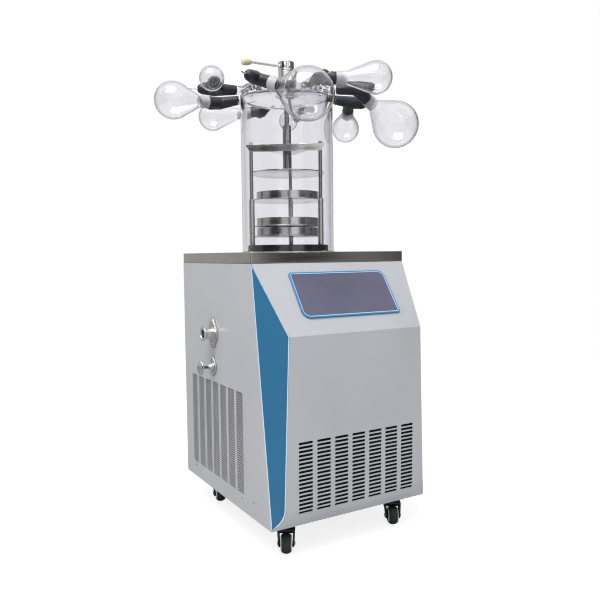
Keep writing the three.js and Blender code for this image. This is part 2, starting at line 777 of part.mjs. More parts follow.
/** The tapered grip on the lever rod, built outwards along +Z from the chamber's axis. */
function leverKnob() {
  const low = LEVER_REACH - LEVER_KNOB_LENGTH / 2;
  const high = LEVER_REACH + LEVER_KNOB_LENGTH / 2;
  const bore = LEVER_RADIUS + RUNNING;
  const profile = [
    [bore, low],
    [LEVER_KNOB_RADIUS * 0.62, low],
    [LEVER_KNOB_RADIUS * 0.9, low + 8],
    [LEVER_KNOB_RADIUS, high - 8],
    [LEVER_KNOB_RADIUS * 0.8, high - 2],
    [0, high],
    [0, LEVER_REACH + GAP],
    [bore, LEVER_REACH + GAP],
    [bore, low],
  ];
  return turned(profile, 12);
}

function pressSpindle() {
  return bar(SPINDLE_RADIUS, SLEEVE_TOP - SLEEVE_SOCKET + GAP, CAP_LOW - 6, 12);
}

/** The press plate with notches for the posts, its screwed hub and the sleeve of the spindle. */
function pressPlate() {
  const disc = bar(SHELF_RADIUS, PRESS_TOP - PRESS_THICK, PRESS_TOP, 30);
  const hub = PRESS_TOP + 6;
  const sleeve = turned(
    [
      [0, PRESS_TOP - 1],
      [PRESS_HUB_RADIUS, PRESS_TOP - 1],
      [PRESS_HUB_RADIUS, hub],
      [SLEEVE_RADIUS, hub],
      [SLEEVE_RADIUS, SLEEVE_TOP],
      [SPINDLE_RADIUS + GAP, SLEEVE_TOP],
      [SPINDLE_RADIUS + GAP, SLEEVE_TOP - SLEEVE_SOCKET],
      [0, SLEEVE_TOP - SLEEVE_SOCKET],
    ],
    16,
  );
  const screws = [0, 1, 2, 3].map((quarter) =>
    bar(2.8, hub - 1, hub + 6, 6)
      .translate((SLEEVE_RADIUS + PRESS_HUB_RADIUS) / 2, 0, 0)
      .rotateZ((quarter * Math.PI) / 2 + 0.4),
  );
  const notches = onPosts(() => bar(POST_RADIUS + RUNNING, PRESS_TOP - 5, PRESS_TOP + 1, 8));
  return cut(joined(disc, sleeve, ...screws), ...notches);
}

function press() {
  const group = new THREE.Group();
  group.add(named("press_housing", pressHousing(), POLISHED));
  group.add(named("lever_cap", leverCap(), POLISHED));
  const knob = named("lever_knob", leverKnob(), IVORY);
  knob.quaternion.copy(turnTo(new THREE.Vector3(Math.sin(LEVER_TURN), -Math.cos(LEVER_TURN), 0)));
  knob.position.z = CAP_LOW + LEVER_RISE;
  group.add(knob, named("press_spindle", pressSpindle(), POLISHED));
  const plate = named("press_plate", pressPlate(), STAINLESS);
  plate.rotation.z = RACK_TURN;
  group.add(plate);
  return group;
}

// ---------------------------------------------------------------- shelf rack

/** Copies of an upright piece at the three posts, the first straight behind the axis. */
function onPosts(make) {
  return [0, 1, 2].map((third) =>
    make()
      .translate(0, POST_CIRCLE, 0)
      .rotateZ((third * 2 * Math.PI) / 3),
  );
}

/** A post with a stud through the top plate and a dome nut on it. */
function rackPost() {
  const nut = BRIDGE_TOP + GAP;
  const shoulder = BRIDGE_TOP - BRIDGE_THICK - GAP;
  return turned(
    [
      [0, RING_TOP - 6],
      [POST_RADIUS, RING_TOP - 6],
      [POST_RADIUS, shoulder],
      [STUD_RADIUS, shoulder],
      [STUD_RADIUS, nut],
      [POST_RADIUS + 1, nut],
      [POST_RADIUS, nut + 8],
      [0, nut + 8],
    ],
    8,
  );
}

/** The base ring with its three posts. */
function rackBase() {
  const base = ring(RING_RADIUS - RING_WIDTH, RING_RADIUS, WELL_TOP + GAP, RING_TOP, 30);
  return joined(base, ...onPosts(rackPost));
}

/** The top plate: straight and folded down along its front edge, and narrowing to the rear post. */
function rackTopPlate() {
  const low = BRIDGE_TOP - BRIDGE_THICK;
  const outline = [
    [-BRIDGE_HALF, -BRIDGE_FRONT],
    [BRIDGE_HALF, -BRIDGE_FRONT],
    [BRIDGE_HALF, -BRIDGE_FRONT + 22],
    [13, POST_CIRCLE + 10],
    [-13, POST_CIRCLE + 10],
    [-BRIDGE_HALF, -BRIDGE_FRONT + 22],
  ];
  const plate = prism(outline, BRIDGE_THICK).translate(0, 0, low);
  const lip = [
    [-BRIDGE_HALF, low + 1],
    [-BRIDGE_HALF + 9, BRIDGE_TOP - BRIDGE_LIP],
    [BRIDGE_HALF - 9, BRIDGE_TOP - BRIDGE_LIP],
    [BRIDGE_HALF, low + 1],
  ];
  const fold = prism(lip, SHEET).rotateX(Math.PI / 2).translate(0, -BRIDGE_FRONT + SHEET, 0);
  const collar = bar(SLEEVE_RADIUS + 4, BRIDGE_TOP - 1, BRIDGE_TOP + 4, 16, SLEEVE_RADIUS + 3);
  const bore = bar(SLEEVE_RADIUS + RUNNING, low - 1, BRIDGE_TOP + 5, 16);
  const holes = onPosts(() => bar(STUD_RADIUS + GAP, low - 1, BRIDGE_TOP + 1, 8));
  return cut(joined(plate, fold, collar), bore, ...holes);
}

/** A shelf with the spacer tubes that carry it on the posts. */
function shelf(under, top) {
  const low = top - SHELF_THICK;
  const spacers = onPosts(() => bar(SPACER_RADIUS, under + GAP, top, 8));
  const bores = onPosts(() => bar(POST_RADIUS + RUNNING, under - 1, top + 1, 8));
  return cut(joined(bar(SHELF_RADIUS, low, top, 28), ...spacers), ...bores);
}

/** A flat-bottomed round tray. */
function tray() {
  const profile = [
    [0, 0],
    [TRAY_RADIUS, 0],
    [TRAY_RADIUS, TRAY_HEIGHT],
    [TRAY_RADIUS - TRAY_WALL, TRAY_HEIGHT],
    [TRAY_RADIUS - TRAY_WALL, TRAY_WALL],
    [0, TRAY_WALL],
  ];
  return turned(profile, 28);
}

function rack() {
  const group = new THREE.Group();
  group.rotation.z = RACK_TURN;
  group.add(named("rack_base", rackBase(), STAINLESS));
  group.add(named("rack_top_plate", rackTopPlate(), STAINLESS));
  SHELF_TOPS.forEach((top, at) => {
    const under = at === 0 ? RING_TOP : SHELF_TOPS[at - 1];
    group.add(named(`shelf_${at + 1}`, shelf(under, top), STAINLESS));
    const dish = named(`tray_${at + 1}`, tray(), STAINLESS);
    dish.position.z = top + GAP;
    group.add(dish);
  });
  return group;
}

// ---------------------------------------------------------------- valves and flasks

/** Direction of a side arm in the frame of a valve whose barrel runs along -Y. */
function armDirection({ tilt, roll }) {
  return new THREE.Vector3(
    Math.sin(tilt) * Math.sin(roll),
    -Math.cos(tilt),
    -Math.sin(tilt) * Math.cos(roll),
  );
}

/** A rubber valve body along -Y, with the side arm and the tip that the flask sits on. */
function valveBody(direction) {
  const barrel = turned(
    [
      [0, 0],
      [BARREL_MOUTH, 0],
      [BARREL_RADIUS, ARM_FROM + ARM_RADIUS - 4],
      [BARREL_END, BARREL_LENGTH],
      [0, BARREL_LENGTH],
    ],
    12,
  );
  const arm = turned(
    [
      [0, 0],
      [ARM_RADIUS - 1, 0],
      [ARM_RADIUS, ARM_REACH],
      [TIP_RADIUS, ARM_REACH],
      [TIP_RADIUS - 1, ARM_REACH + TIP_LENGTH],
      [0, ARM_REACH + TIP_LENGTH],
    ],
    FLASK_SIDES,
  );
  arm.applyQuaternion(turnTo(direction)).translate(0, -ARM_FROM, 0);
  const mouth = bar(NIPPLE_RADIUS + GAP, -1, NIPPLE_LENGTH + 1, 8);
  const clear = (SHANK_RADIUS + GAP) / Math.cos(Math.PI / 10);
  const socket = bar(clear, BARREL_LENGTH - SHANK_LENGTH - 1, BARREL_LENGTH + 1, 10);
  const lying = [barrel, mouth, socket].map((piece) => piece.rotateX(Math.PI / 2));
  return cut(joined(lying[0], arm), lying[1], lying[2]);
}

/** The turning nose of a valve, with its shank and its vent tube. */
function valvePlug() {
  const nose = turned(
    [
      [0, -SHANK_LENGTH],
      [SHANK_RADIUS, -SHANK_LENGTH],
      [SHANK_RADIUS, 0],
      [BARREL_END, 0],
      [BARREL_END * 0.94, NOSE_LENGTH * 0.4],
      [BARREL_END * 0.62, NOSE_LENGTH * 0.88],
      [0, NOSE_LENGTH],
    ],
    10,
  );
  const vent = bar(VENT_TUBE_RADIUS, 0, NOSE_LENGTH + VENT_TUBE_LENGTH, 6);
  return joined(nose, vent).rotateX(Math.PI / 2);
}

/** Half of a flask's section from the neck's end to the pole of the bulb. */
function bulbProfile(bulb, reach, neckRadius, neckEnd, steps) {
  const span = Math.hypot(reach - neckEnd, neckRadius);
  const start = Math.atan2(neckRadius, reach - neckEnd) + Math.acos(bulb / span);
  const points = [[neckRadius, neckEnd]];
  for (let step = 0; step <= steps; step++) {
    const angle = start + ((Math.PI - start) * step) / steps;
    const radius = step === steps ? 0 : bulb * Math.sin(angle);
    points.push([radius, reach - bulb * Math.cos(angle)]);
  }
  return points;
}

/** A pear-shaped glass flask along +Z with its mouth at zero, its facets outside the round bulb. */
function flask({ bulb, reach, neck }) {
  const round = 1 / Math.cos(Math.PI / FLASK_SIDES);
  const swell = round / Math.cos(Math.PI / 3 / FLASK_STEPS);
  const bore = TIP_RADIUS + RUNNING;
  const outer = (bore + NECK_WALL) * round;
  const inside = [[bore, 0], ...bulbProfile(bulb - GLASS, reach, bore, neck, FLASK_STEPS - 2)];
  const outside = [[outer, 0], ...bulbProfile(bulb * swell, reach, outer, neck, FLASK_STEPS)];
  return turned([...inside.reverse(), ...outside], FLASK_SIDES);
}

function valves() {
  const group = new THREE.Group();
  VALVES.forEach((valve, at) => {
    const port = new THREE.Group();
    port.rotation.z = VALVE_TURN + (at * 2 * Math.PI) / VALVE_COUNT;
    const drooping = new THREE.Group();
    drooping.position.set(0, -TUBE_RADIUS, CHAMBER_HEIGHT + STUB_RISE);
    drooping.rotation.x = VALVE_DROOP;
    const seat = new THREE.Group();
    seat.position.y = -STUB_LENGTH - GAP;
    const direction = armDirection(valve);
    const plug = named(`valve_plug_${at + 1}`, valvePlug(), RUBBER);
    plug.position.y = -BARREL_LENGTH - GAP;
    const bulb = named(`flask_${at + 1}`, flask(FLASKS[valve.flask]), CLEAR);
    bulb.position.set(0, -ARM_FROM, 0).addScaledVector(direction, ARM_REACH + GAP);
    bulb.quaternion.copy(turnTo(direction));
    seat.add(named(`valve_body_${at + 1}`, valveBody(direction), RUBBER), plug, bulb);
    drooping.add(seat);
    port.add(drooping);
    group.add(port);
  });
  return group;
}

// ---------------------------------------------------------------- the whole dryer

const built = new THREE.Group();
const upper = new THREE.Group();
upper.position.z = WORKTOP_TOP;
upper.add(chamber(), press(), rack(), valves());
built.add(cabinet(), casters(), sideFittings(), upper);

const box = new THREE.Box3().setFromObject(built, true);
const middle = box.getCenter(new THREE.Vector3());
built.position.set(-middle.x, -middle.y, -box.min.z);

const freezeDryer = new THREE.Group();
freezeDryer.add(built);

export default freezeDryer;
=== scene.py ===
"""Freeze dryer: pieces, finishes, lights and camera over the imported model."""

import json
import logging
import math
from dataclasses import dataclass
from enum import Enum
from typing import Any, Callable, Sequence

import bmesh
import bpy
from mathutils import Matrix, Vector

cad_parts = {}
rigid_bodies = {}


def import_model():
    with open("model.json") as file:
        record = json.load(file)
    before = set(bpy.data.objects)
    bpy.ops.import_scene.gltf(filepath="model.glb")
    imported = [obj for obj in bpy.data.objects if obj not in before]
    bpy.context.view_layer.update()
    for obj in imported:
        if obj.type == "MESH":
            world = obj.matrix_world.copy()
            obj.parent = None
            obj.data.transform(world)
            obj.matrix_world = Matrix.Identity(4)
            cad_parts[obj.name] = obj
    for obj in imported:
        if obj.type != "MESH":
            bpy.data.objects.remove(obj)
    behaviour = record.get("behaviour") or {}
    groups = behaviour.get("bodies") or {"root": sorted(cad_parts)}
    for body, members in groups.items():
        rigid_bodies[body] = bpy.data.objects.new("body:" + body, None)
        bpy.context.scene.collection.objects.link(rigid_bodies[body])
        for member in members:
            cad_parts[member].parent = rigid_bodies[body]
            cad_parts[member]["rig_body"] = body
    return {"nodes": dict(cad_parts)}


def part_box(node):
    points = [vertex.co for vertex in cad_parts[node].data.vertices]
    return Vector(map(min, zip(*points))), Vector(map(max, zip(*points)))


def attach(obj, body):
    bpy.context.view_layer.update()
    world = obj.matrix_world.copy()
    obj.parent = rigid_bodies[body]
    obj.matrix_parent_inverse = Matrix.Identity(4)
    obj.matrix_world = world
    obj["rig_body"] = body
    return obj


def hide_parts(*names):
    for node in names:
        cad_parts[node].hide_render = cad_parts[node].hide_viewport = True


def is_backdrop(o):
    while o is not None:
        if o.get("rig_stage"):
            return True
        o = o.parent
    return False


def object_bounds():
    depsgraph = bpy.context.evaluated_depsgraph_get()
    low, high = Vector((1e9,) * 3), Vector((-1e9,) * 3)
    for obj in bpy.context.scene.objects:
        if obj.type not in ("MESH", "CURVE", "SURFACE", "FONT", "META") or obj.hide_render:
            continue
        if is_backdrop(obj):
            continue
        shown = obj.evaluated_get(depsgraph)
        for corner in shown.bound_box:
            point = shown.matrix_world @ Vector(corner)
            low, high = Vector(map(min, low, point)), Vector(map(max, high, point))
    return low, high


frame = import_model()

log = logging.getLogger("freeze_dryer")

CAD_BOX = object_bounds()
MM = Matrix.Scale(0.001, 4)
TAU = 2 * math.pi
QUARTER = math.pi / 2
HERE = Matrix.Identity(4)
WHITE = (1.0, 1.0, 1.0)

# Millimetres: the worktop over the floor, and the gap between pieces that meet.
WORKTOP_HEIGHT = 737.0
GAP = 0.3

Point = tuple[float, ...]
Colour = tuple[float, float, float]
Mesh = bpy.types.Mesh


# ---------------------------------------------------------------- places


def shifted(x: float, y: float, z: float) -> Matrix:
    """A move, in millimetres."""
    return Matrix.Translation((x, y, z))


def spun(angle: float, axis: str) -> Matrix:
    """A turn about X, Y or Z."""
    return Matrix.Rotation(angle, 4, axis)


def along(direction: Vector) -> Matrix:
    """A turn that lays +Z along a direction."""
    return Vector((0, 0, 1)).rotation_difference(direction).to_matrix().to_4x4()


class Datum(Enum):
    """Where a sub-assembly's millimetres are measured from."""

    CABINET = "floor under the chamber's axis"
    CHAMBER = "worktop's top on the chamber's axis"

    def matrix(self) -> Matrix:
        """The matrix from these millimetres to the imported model's metres."""
        low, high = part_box("chamber_drum")
        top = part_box("worktop")[1].z
        base = top - (WORKTOP_HEIGHT / 1000 if self is Datum.CABINET else 0.0)
        return Matrix.Translation(((low.x + high.x) / 2, (low.y + high.y) / 2, base)) @ MM


# ---------------------------------------------------------------- shader nodes


def operator(operation: str, swapped: bool = False) -> Callable[["Value", Any], "Value"]:
    """A method that adds a Math node.

    Args:
        operation: The node's operation.
        swapped: Whether the other value comes first.

    Returns:
        The method.
    """

    def method(value: "Value", other: Any) -> "Value":
        """The node's result for the value and the other one."""
        pair = (other, value) if swapped else (value, other)
        return value.shading.node("ShaderNodeMath", {"operation": operation}, dict(enumerate(pair)), "Value")

    return method


class Value:
    """A shader socket whose operators add Math nodes; bearing is the angle of (other, self)."""

    def __init__(self, shading: "Shading", socket: bpy.types.NodeSocket) -> None:
        """Keeps the socket and the tree it belongs to."""
        self.shading = shading
        self.socket = socket

    __add__ = __radd__ = operator("ADD")
    __sub__ = operator("SUBTRACT")
    __rsub__ = operator("SUBTRACT", swapped=True)
    __mul__ = __rmul__ = operator("MULTIPLY")
    above = operator("GREATER_THAN")
    most = operator("MAXIMUM")
    bearing = operator("ARCTAN2")


class Shading:
    """The node tree of a material or of the world."""

    def __init__(self, owner: Any) -> None:
        """Empties the owner's tree.

        Args:
            owner: A material or a world.
        """
        owner.use_nodes = True
        self.tree = owner.node_tree
        self.tree.nodes.clear()

    def node(self, kind: str, settings: dict, inputs: dict, output: str) -> Value:
        """Adds a node.

        Args:
            kind: The node's type.
            settings: Its own settings; "stops" fills a colour ramp.
            inputs: Numbers, colours or values for its sockets, by name or index.
            output: The name of the output that is wanted.

        Returns:
            That output.
        """
        made = self.tree.nodes.new(kind)
        for key, value in settings.items():
            if key != "stops":
                setattr(made, key, value)
                continue
            ramp = made.color_ramp
            while len(ramp.elements) < len(value):
                ramp.elements.new(0.5)
            for element, (position, colour) in zip(ramp.elements, value):
                element.position = position
                element.color = (*colour, 1)
        for key, value in inputs.items():
            socket = made.inputs[key]
            if isinstance(value, Value):
                self.tree.links.new(value.socket, socket)
            elif isinstance(value, tuple) and len(value) == 3 and socket.type == "RGBA":
                socket.default_value = (*value, 1)
            else:
                socket.default_value = value
        return Value(self, made.outputs[output])

    def place(self, stretch: Point) -> Value:
        """Object coordinates, stretched along each axis."""
        source = self.node("ShaderNodeTexCoord", {}, {}, "Object")
        return self.node("ShaderNodeMapping", {}, {"Vector": source, "Scale": stretch}, "Vector")

    def noise(self, stretch: Point, detail: float = 2.0) -> Value:
        """Noise on Object coordinates, about 1 over stretch metres in size."""
        inputs = {"Vector": self.place(stretch), "Scale": 1.0, "Detail": detail}
        return self.node("ShaderNodeTexNoise", {}, inputs, "Fac")

    def ramp(self, value: Value, stops: Sequence[tuple[float, Colour]]) -> Value:
        """The colour of a ramp at a value."""
        return self.node("ShaderNodeValToRGB", {"stops": stops}, {"Fac": value}, "Color")

    def between(self, value: Value, start: float, end: float, low: float, high: float) -> Value:
        """A value taken from one range to another and held at its ends."""
        inputs = {"Value": value, "From Min": start, "From Max": end, "To Min": low, "To Max": high}
        return self.node("ShaderNodeMapRange", {}, inputs, "Result")

    def bump(self, height: Value, strength: float, distance: float) -> Value:
        """A normal raised by a height."""
        inputs = {"Height": height, "Strength": strength, "Distance": distance}
        return self.node("ShaderNodeBump", {}, inputs, "Normal")

    def mix(self, share: Value, first: Value, second: Value) -> Value:
        """The first shader, and the second where the share is 1."""
        return self.node("ShaderNodeMixShader", {}, {0: share, 1: first, 2: second}, "Shader")

    def ray(self, output: str) -> Value:
        """What Light Path says of a ray."""
        return self.node("ShaderNodeLightPath", {}, {}, output)

    def diffuse(self, colour: Colour) -> Value:
        """A matt surface."""
        return self.node("ShaderNodeBsdfDiffuse", {}, {"Color": colour}, "BSDF")

    def background(self, strength: Any) -> Value:
        """White surroundings of a strength."""
        return self.node("ShaderNodeBackground", {}, {"Color": WHITE, "Strength": strength}, "Background")

    def surface(self, shader: Value, output: str = "ShaderNodeOutputMaterial") -> None:
        """Shows a shader on the surface."""
        made = self.tree.nodes.new(output)
        self.tree.links.new(shader.socket, made.inputs["Surface"])


def srgb(red: int, green: int, blue: int) -> Colour:
    """A screen colour from 0 to 255 as linear light."""
    parts = (value / 255 for value in (red, green, blue))
    return tuple(p / 12.92 if p <= 0.04045 else ((p + 0.055) / 1.055) ** 2.4 for p in parts)


def shade(colour: Colour, share: float) -> Colour:
    """A colour made darker or lighter by a share."""
    return tuple(min(value * share, 1.0) for value in colour)


# ---------------------------------------------------------------- finishes


@dataclass(frozen=True)
class Finish:
    """A surface finish: its name and colour."""

    name: str
    colour: Colour
    roughness: float = 0.4

    def material(self) -> bpy.types.Material:
        """The finish's material, made once."""
        known = bpy.data.materials.get(self.name)
        if known is not None:
            return known
        material = bpy.data.materials.new(self.name)
        shading = Shading(material)
        shading.surface(self.shader(shading))
        return material

    def shader(self, s: Shading) -> Value:
        """The finish's shader."""
        raise NotImplementedError

    def principled(self, s: Shading, **inputs: Any) -> Value:
        """A Principled shader; underscores in a socket's name stand for spaces."""
        named = {key.replace("_", " "): value for key, value in inputs.items()}
        return s.node("ShaderNodeBsdfPrincipled", {}, named, "BSDF")

    def spread(self, s: Shading, tone: Value, low: Point, high: Point) -> Value:
        """The colour's shares along a tone; low and high are (tone, share)."""
        return s.ramp(tone, [(at, shade(self.colour, share)) for at, share in (low, high)])


class Grain(Enum):
    """Which way a brushed metal's grain runs, as the noise's stretch."""

    ALONG_X = (9.0, 900.0, 900.0)
    UPRIGHT = (700.0, 700.0, 7.0)
    AROUND = (14.0, 14.0, 1100.0)


@dataclass(frozen=True)
class BrushedSteel(Finish):
    """Stainless sheet or bar with a fine grain; bands are a painted reflection across X, darker and lighter
    strips as (metres, share).
    """

    grain: Grain = Grain.AROUND
    depth: float = 0.16
    bands: Sequence[Point] = ()

    def shader(self, s: Shading) -> Value:
        """Metal whose colour and roughness vary along the grain."""
        grain = s.noise(self.grain.value, 3.0)
        cloud = s.noise((6.0, 6.0, 6.0))
        tint = self.spread(s, grain * 0.7 + cloud * 0.3, (0.3, 1 - self.depth), (0.7, 1 + self.depth))
        # Painted reflection: the bands darken and lighten the tint across X.
        if self.bands:
            tint = self.reflection_painted(s, tint)
        return self.principled(
            s,
            Base_Color=tint,
            Metallic=1.0,
            Roughness=(grain - 0.5) * 0.16 + (cloud - 0.5) * 0.06 + self.roughness,
            Normal=s.bump(grain, 0.07, 0.0002),
        )

    def reflection_painted(self, s: Shading, tint: Value) -> Value:
        """The tint darkened and lightened by the painted reflection bands."""
        across = s.node("ShaderNodeSeparateXYZ", {}, {0: s.place((1.0, 1.0, 1.0))}, "X")
        first, last = self.bands[0][0], self.bands[-1][0]
        stops = [((x - first) / (last - first), (share,) * 3) for x, share in self.bands]
        painted_reflection = s.ramp(s.between(across, first, last, 0.0, 1.0), stops)
        return s.node("ShaderNodeVectorMath", {"operation": "MULTIPLY"}, {0: tint, 1: painted_reflection}, "Vector")


@dataclass(frozen=True)
class PolishedSteel(Finish):
    """Mirror-bright metal with faint smears."""

    def shader(self, s: Shading) -> Value:
        """Metal whose roughness drifts a little."""
        smear = s.noise((40.0, 40.0, 90.0), 4.0)
        return self.principled(
            s,
            Base_Color=self.spread(s, smear, (0.35, 0.92), (0.65, 1.04)),
            Metallic=1.0,
            Roughness=smear * 0.12 + (self.roughness - 0.05),
            Normal=s.bump(s.noise((60.0, 60.0, 500.0)), 0.04, 0.0002),
        )


@dataclass(frozen=True)
class PowderCoat(Finish):
    """Sprayed enamel on sheet steel, with a fine orange peel and a little dust."""

    gloss: float = 0.25

    def shader(self, s: Shading) -> Value:
        """Enamel under a thin coat."""
        peel = s.noise((900.0,) * 3)
        cloud = s.noise((5.0, 5.0, 3.0), 4.0)
        return self.principled(
            s,
            Base_Color=self.spread(s, cloud * 0.8 + peel * 0.2, (0.35, 0.96), (0.65, 1.035)),
            Roughness=(cloud - 0.5) * 0.1 + self.roughness,
            Coat_Weight=self.gloss,
            Coat_Roughness=0.2,
            Normal=s.bump(peel, 0.1, 0.0003),
        )


@dataclass(frozen=True)
class MouldedRubber(Finish):
    """Dark elastomer or plastic with a fine bloom."""

    bloom: float = 0.5

    def shader(self, s: Shading) -> Value:
        """Rubber whose colour and roughness vary with its bloom."""
        bloom = s.noise((70.0, 70.0, 70.0), 5.0)
        return self.principled(
            s,
            Base_Color=self.spread(s, bloom, (0.35, 1.0), (0.75, 1 + self.bloom)),
            Roughness=(bloom - 0.5) * 0.24 + self.roughness,
            Specular_IOR_Level=0.45,
            Normal=s.bump(s.noise((1400.0,) * 3), 0.16, 0.0003),
        )


@dataclass(frozen=True)
class ClearBody(Finish):
    """Clear glass or acrylic that lets the lamps through."""

    index: float = 1.47
    ripple: float = 0.02
    through: float = 0.97
    # edge is the colour's share where the body is seen edge on: a painted shade for its outlines.
    edge: float = 0.6
    clearness: float = 1.0

    def shader(self, s: Shading) -> Value:
        """A transmitting body whose colour is darkened where it is seen edge on, a painted shade for its dark
        outlines, and open to rays from the lamps.
        """
        wave = s.noise((16.0, 16.0, 9.0))
        facing = s.node("ShaderNodeLayerWeight", {}, {"Blend": 0.5}, "Facing")
        # Painted shade: the colour falls to the edge share towards grazing angles.
        shares = ((0.0, 1.0), (0.5, 1.0), (0.75, 0.5 + self.edge / 2), (0.92, self.edge))
        body = self.principled(
            s,
            Base_Color=s.ramp(facing, [(at, shade(self.colour, share)) for at, share in shares]),
            Roughness=(wave - 0.5) * 0.01 + self.roughness,
            IOR=self.index,
            Transmission_Weight=self.clearness,
            Normal=s.bump(wave, self.ripple, 0.002),
        )
        open_side = s.node("ShaderNodeBsdfTransparent", {}, {"Color": (self.through,) * 3}, "BSDF")
        return s.mix(s.ray("Is Shadow Ray"), body, open_side)


@dataclass(frozen=True)
class Membrane(Finish):
    """Glossy printed film over the display."""

    def shader(self, s: Shading) -> Value:
        """Film with a soft change of tone down its height."""
        tone = s.noise((5.0, 5.0, 11.0), 1.0)
        return self.principled(
            s,
            Base_Color=self.spread(s, tone, (0.3, 0.85), (0.7, 1.18)),
            Roughness=(tone - 0.5) * 0.08 + self.roughness,
            Coat_Weight=0.6,
            Coat_Roughness=0.05,
            Normal=s.bump(s.noise((300.0,) * 3), 0.03, 0.0002),
        )


WORKTOP_STEEL = BrushedSteel("worktop_steel", srgb(184, 180, 176), 0.2, Grain.ALONG_X)
RACK_STEEL = BrushedSteel("rack_steel", srgb(208, 208, 206), 0.2, Grain.AROUND)
TRAY_STEEL = BrushedSteel("tray_steel", srgb(200, 201, 200), 0.15, Grain.AROUND, depth=0.1)
SLEEVE_STEEL = BrushedSteel("sleeve_steel", srgb(140, 142, 141), 0.24, Grain.UPRIGHT)
# The bridge's bands are a painted reflection: dark and light strips across the plate's lip and top that stand
# for the surroundings it mirrors.
BRIDGE_STEEL = BrushedSteel(
    "bridge_steel", srgb(212, 212, 210), 0.2, Grain.ALONG_X,
    bands=(
        (-0.124, 0.75), (-0.1, 0.65), (-0.09, 0.28), (-0.072, 0.26), (-0.05, 0.3),
        (-0.03, 0.36), (-0.015, 0.6), (0.0, 1.2), (0.02, 1.2), (0.05, 1.05),
    ),
)
DARK_STEEL = BrushedSteel("ring_steel", srgb(56, 60, 68), 0.34, Grain.AROUND)
POST_STEEL = PolishedSteel("post_steel", srgb(168, 168, 170), 0.16)
FLANGE_STEEL = BrushedSteel("flange_steel", srgb(205, 204, 200), 0.36, Grain.UPRIGHT)
STEM_STEEL = BrushedSteel("stem_steel", srgb(96, 96, 94), 0.3, Grain.UPRIGHT)
BRIGHT_STEEL = PolishedSteel("bright_steel", srgb(224, 225, 226), 0.13)
GREY_ENAMEL = PowderCoat("grey_enamel", srgb(181, 182, 187), 0.42)
PAN_ENAMEL = PowderCoat("pan_enamel", srgb(120, 122, 126), 0.5)
BLUE_ENAMEL = PowderCoat("blue_enamel", srgb(28, 102, 142), 0.36)
# Pale lines along the corner strips' edges: a painted highlight of the rolled edges catching the light.
PAINTED_EDGE_HIGHLIGHT = PowderCoat("painted_edge_highlight", srgb(196, 218, 236), 0.36)
RIM_ENAMEL = PowderCoat("rim_enamel", srgb(36, 118, 172), 0.3, gloss=0.5)
LINE_ENAMEL = PowderCoat("line_enamel", srgb(150, 205, 235), 0.3, gloss=0.5)
FILM = Membrane("display_film", srgb(76, 73, 99), 0.2)
ACRYLIC = ClearBody("clear_acrylic", (0.905, 0.9, 0.925), 0.01, index=1.42, ripple=0.01, edge=0.6)
LID_ACRYLIC = ClearBody("lid_acrylic", (0.958, 0.956, 0.966), 0.01, index=1.4, ripple=0.01, edge=0.8)
GLASS = ClearBody("clear_glass", (0.905, 0.9, 0.922), 0.006, index=1.47, ripple=0.02, edge=0.24)
FROST = ClearBody(
    "frosted_glass", (0.78, 0.79, 0.82), 0.4, index=1.45, through=0.8, edge=0.8, clearness=0.6
)
# Near-black pads behind the slots: painted shade for the cabinet's dark inside.
PAINTED_SHADE_PAD = MouldedRubber("painted_shade_pad", srgb(15, 17, 20), 0.85)
VALVE_RUBBER = MouldedRubber("valve_rubber", srgb(30, 34, 42), 0.4)
TREAD_RUBBER = MouldedRubber("tread_rubber", srgb(34, 40, 40), 0.6)
BLACK_NYLON = MouldedRubber("black_nylon", srgb(26, 27, 30), 0.42)
HUB_GREY = MouldedRubber("hub_grey", srgb(200, 204, 200), 0.4, bloom=0.1)
IVORY_GRIP = MouldedRubber("ivory_grip", srgb(226, 220, 192), 0.34, bloom=0.06)


# ---------------------------------------------------------------- forms


def eased(corners: Sequence[Point], steps: int = 3) -> list[Point]:
    """Rounds the corners of a section.

    Args:
        corners: (radius, height) or (radius, height, rounding) of each corner.
        steps: Chords of each rounding.

    Returns:
        The section's points.
    """
    points: list[Point] = []
    for at, corner in enumerate(corners):
        inner = 0 < at < len(corners) - 1
        if len(corner) == 2 or not inner:
            points.append(tuple(corner[:2]))
            continue
        here = Vector(corner[:2])
        back = Vector(corners[at - 1][:2]) - here
        ahead = Vector(corners[at + 1][:2]) - here
        reach = corner[2] / math.tan(back.angle(ahead) / 2)
        reach = min(reach, 0.48 * back.length, 0.48 * ahead.length)
        start, end = here + back.normalized() * reach, here + ahead.normalized() * reach
        for step in range(steps + 1):
            t = step / steps
            points.append(tuple(start * (1 - t) ** 2 + here * (2 * t * (1 - t)) + end * t * t))
    return points


def rounded_outline(half_x: float, half_y: float, radii: Sequence[float], steps: int = 6) -> list[Point]:
    """A rectangle with four rounded corners, from the lower left one, anticlockwise."""
    signs = [(-1, -1), (1, -1), (1, 1), (-1, 1)]
    points: list[Point] = []
    for quarter, ((sx, sy), radius) in enumerate(zip(signs, radii)):
        for step in range(steps + 1):
            angle = math.pi + (quarter + step / steps) * QUARTER
            x = sx * (half_x - radius) + radius * math.cos(angle)
            points.append((x, sy * (half_y - radius) + radius * math.sin(angle)))
    return points


def linked(name: str, data: Any) -> bpy.types.Object:
    """A new object in the scene."""
    made = bpy.data.objects.new(name, data)
    bpy.context.scene.collection.objects.link(made)
    return made


def applied(carrier: bpy.types.Object) -> Mesh:
    """What an object's modifier makes, as a new plain mesh; the object goes."""
    graph = bpy.context.evaluated_depsgraph_get()
    made = bpy.data.meshes.new_from_object(carrier.evaluated_get(graph))
    bpy.data.objects.remove(carrier)
    return made


def written(bm: bmesh.types.BMesh, mesh: Mesh) -> Mesh:
    """A mesh with these faces in it, all facing out."""
    bmesh.ops.recalc_face_normals(bm, faces=bm.faces)
    bm.to_mesh(mesh)
    bm.free()
    return mesh


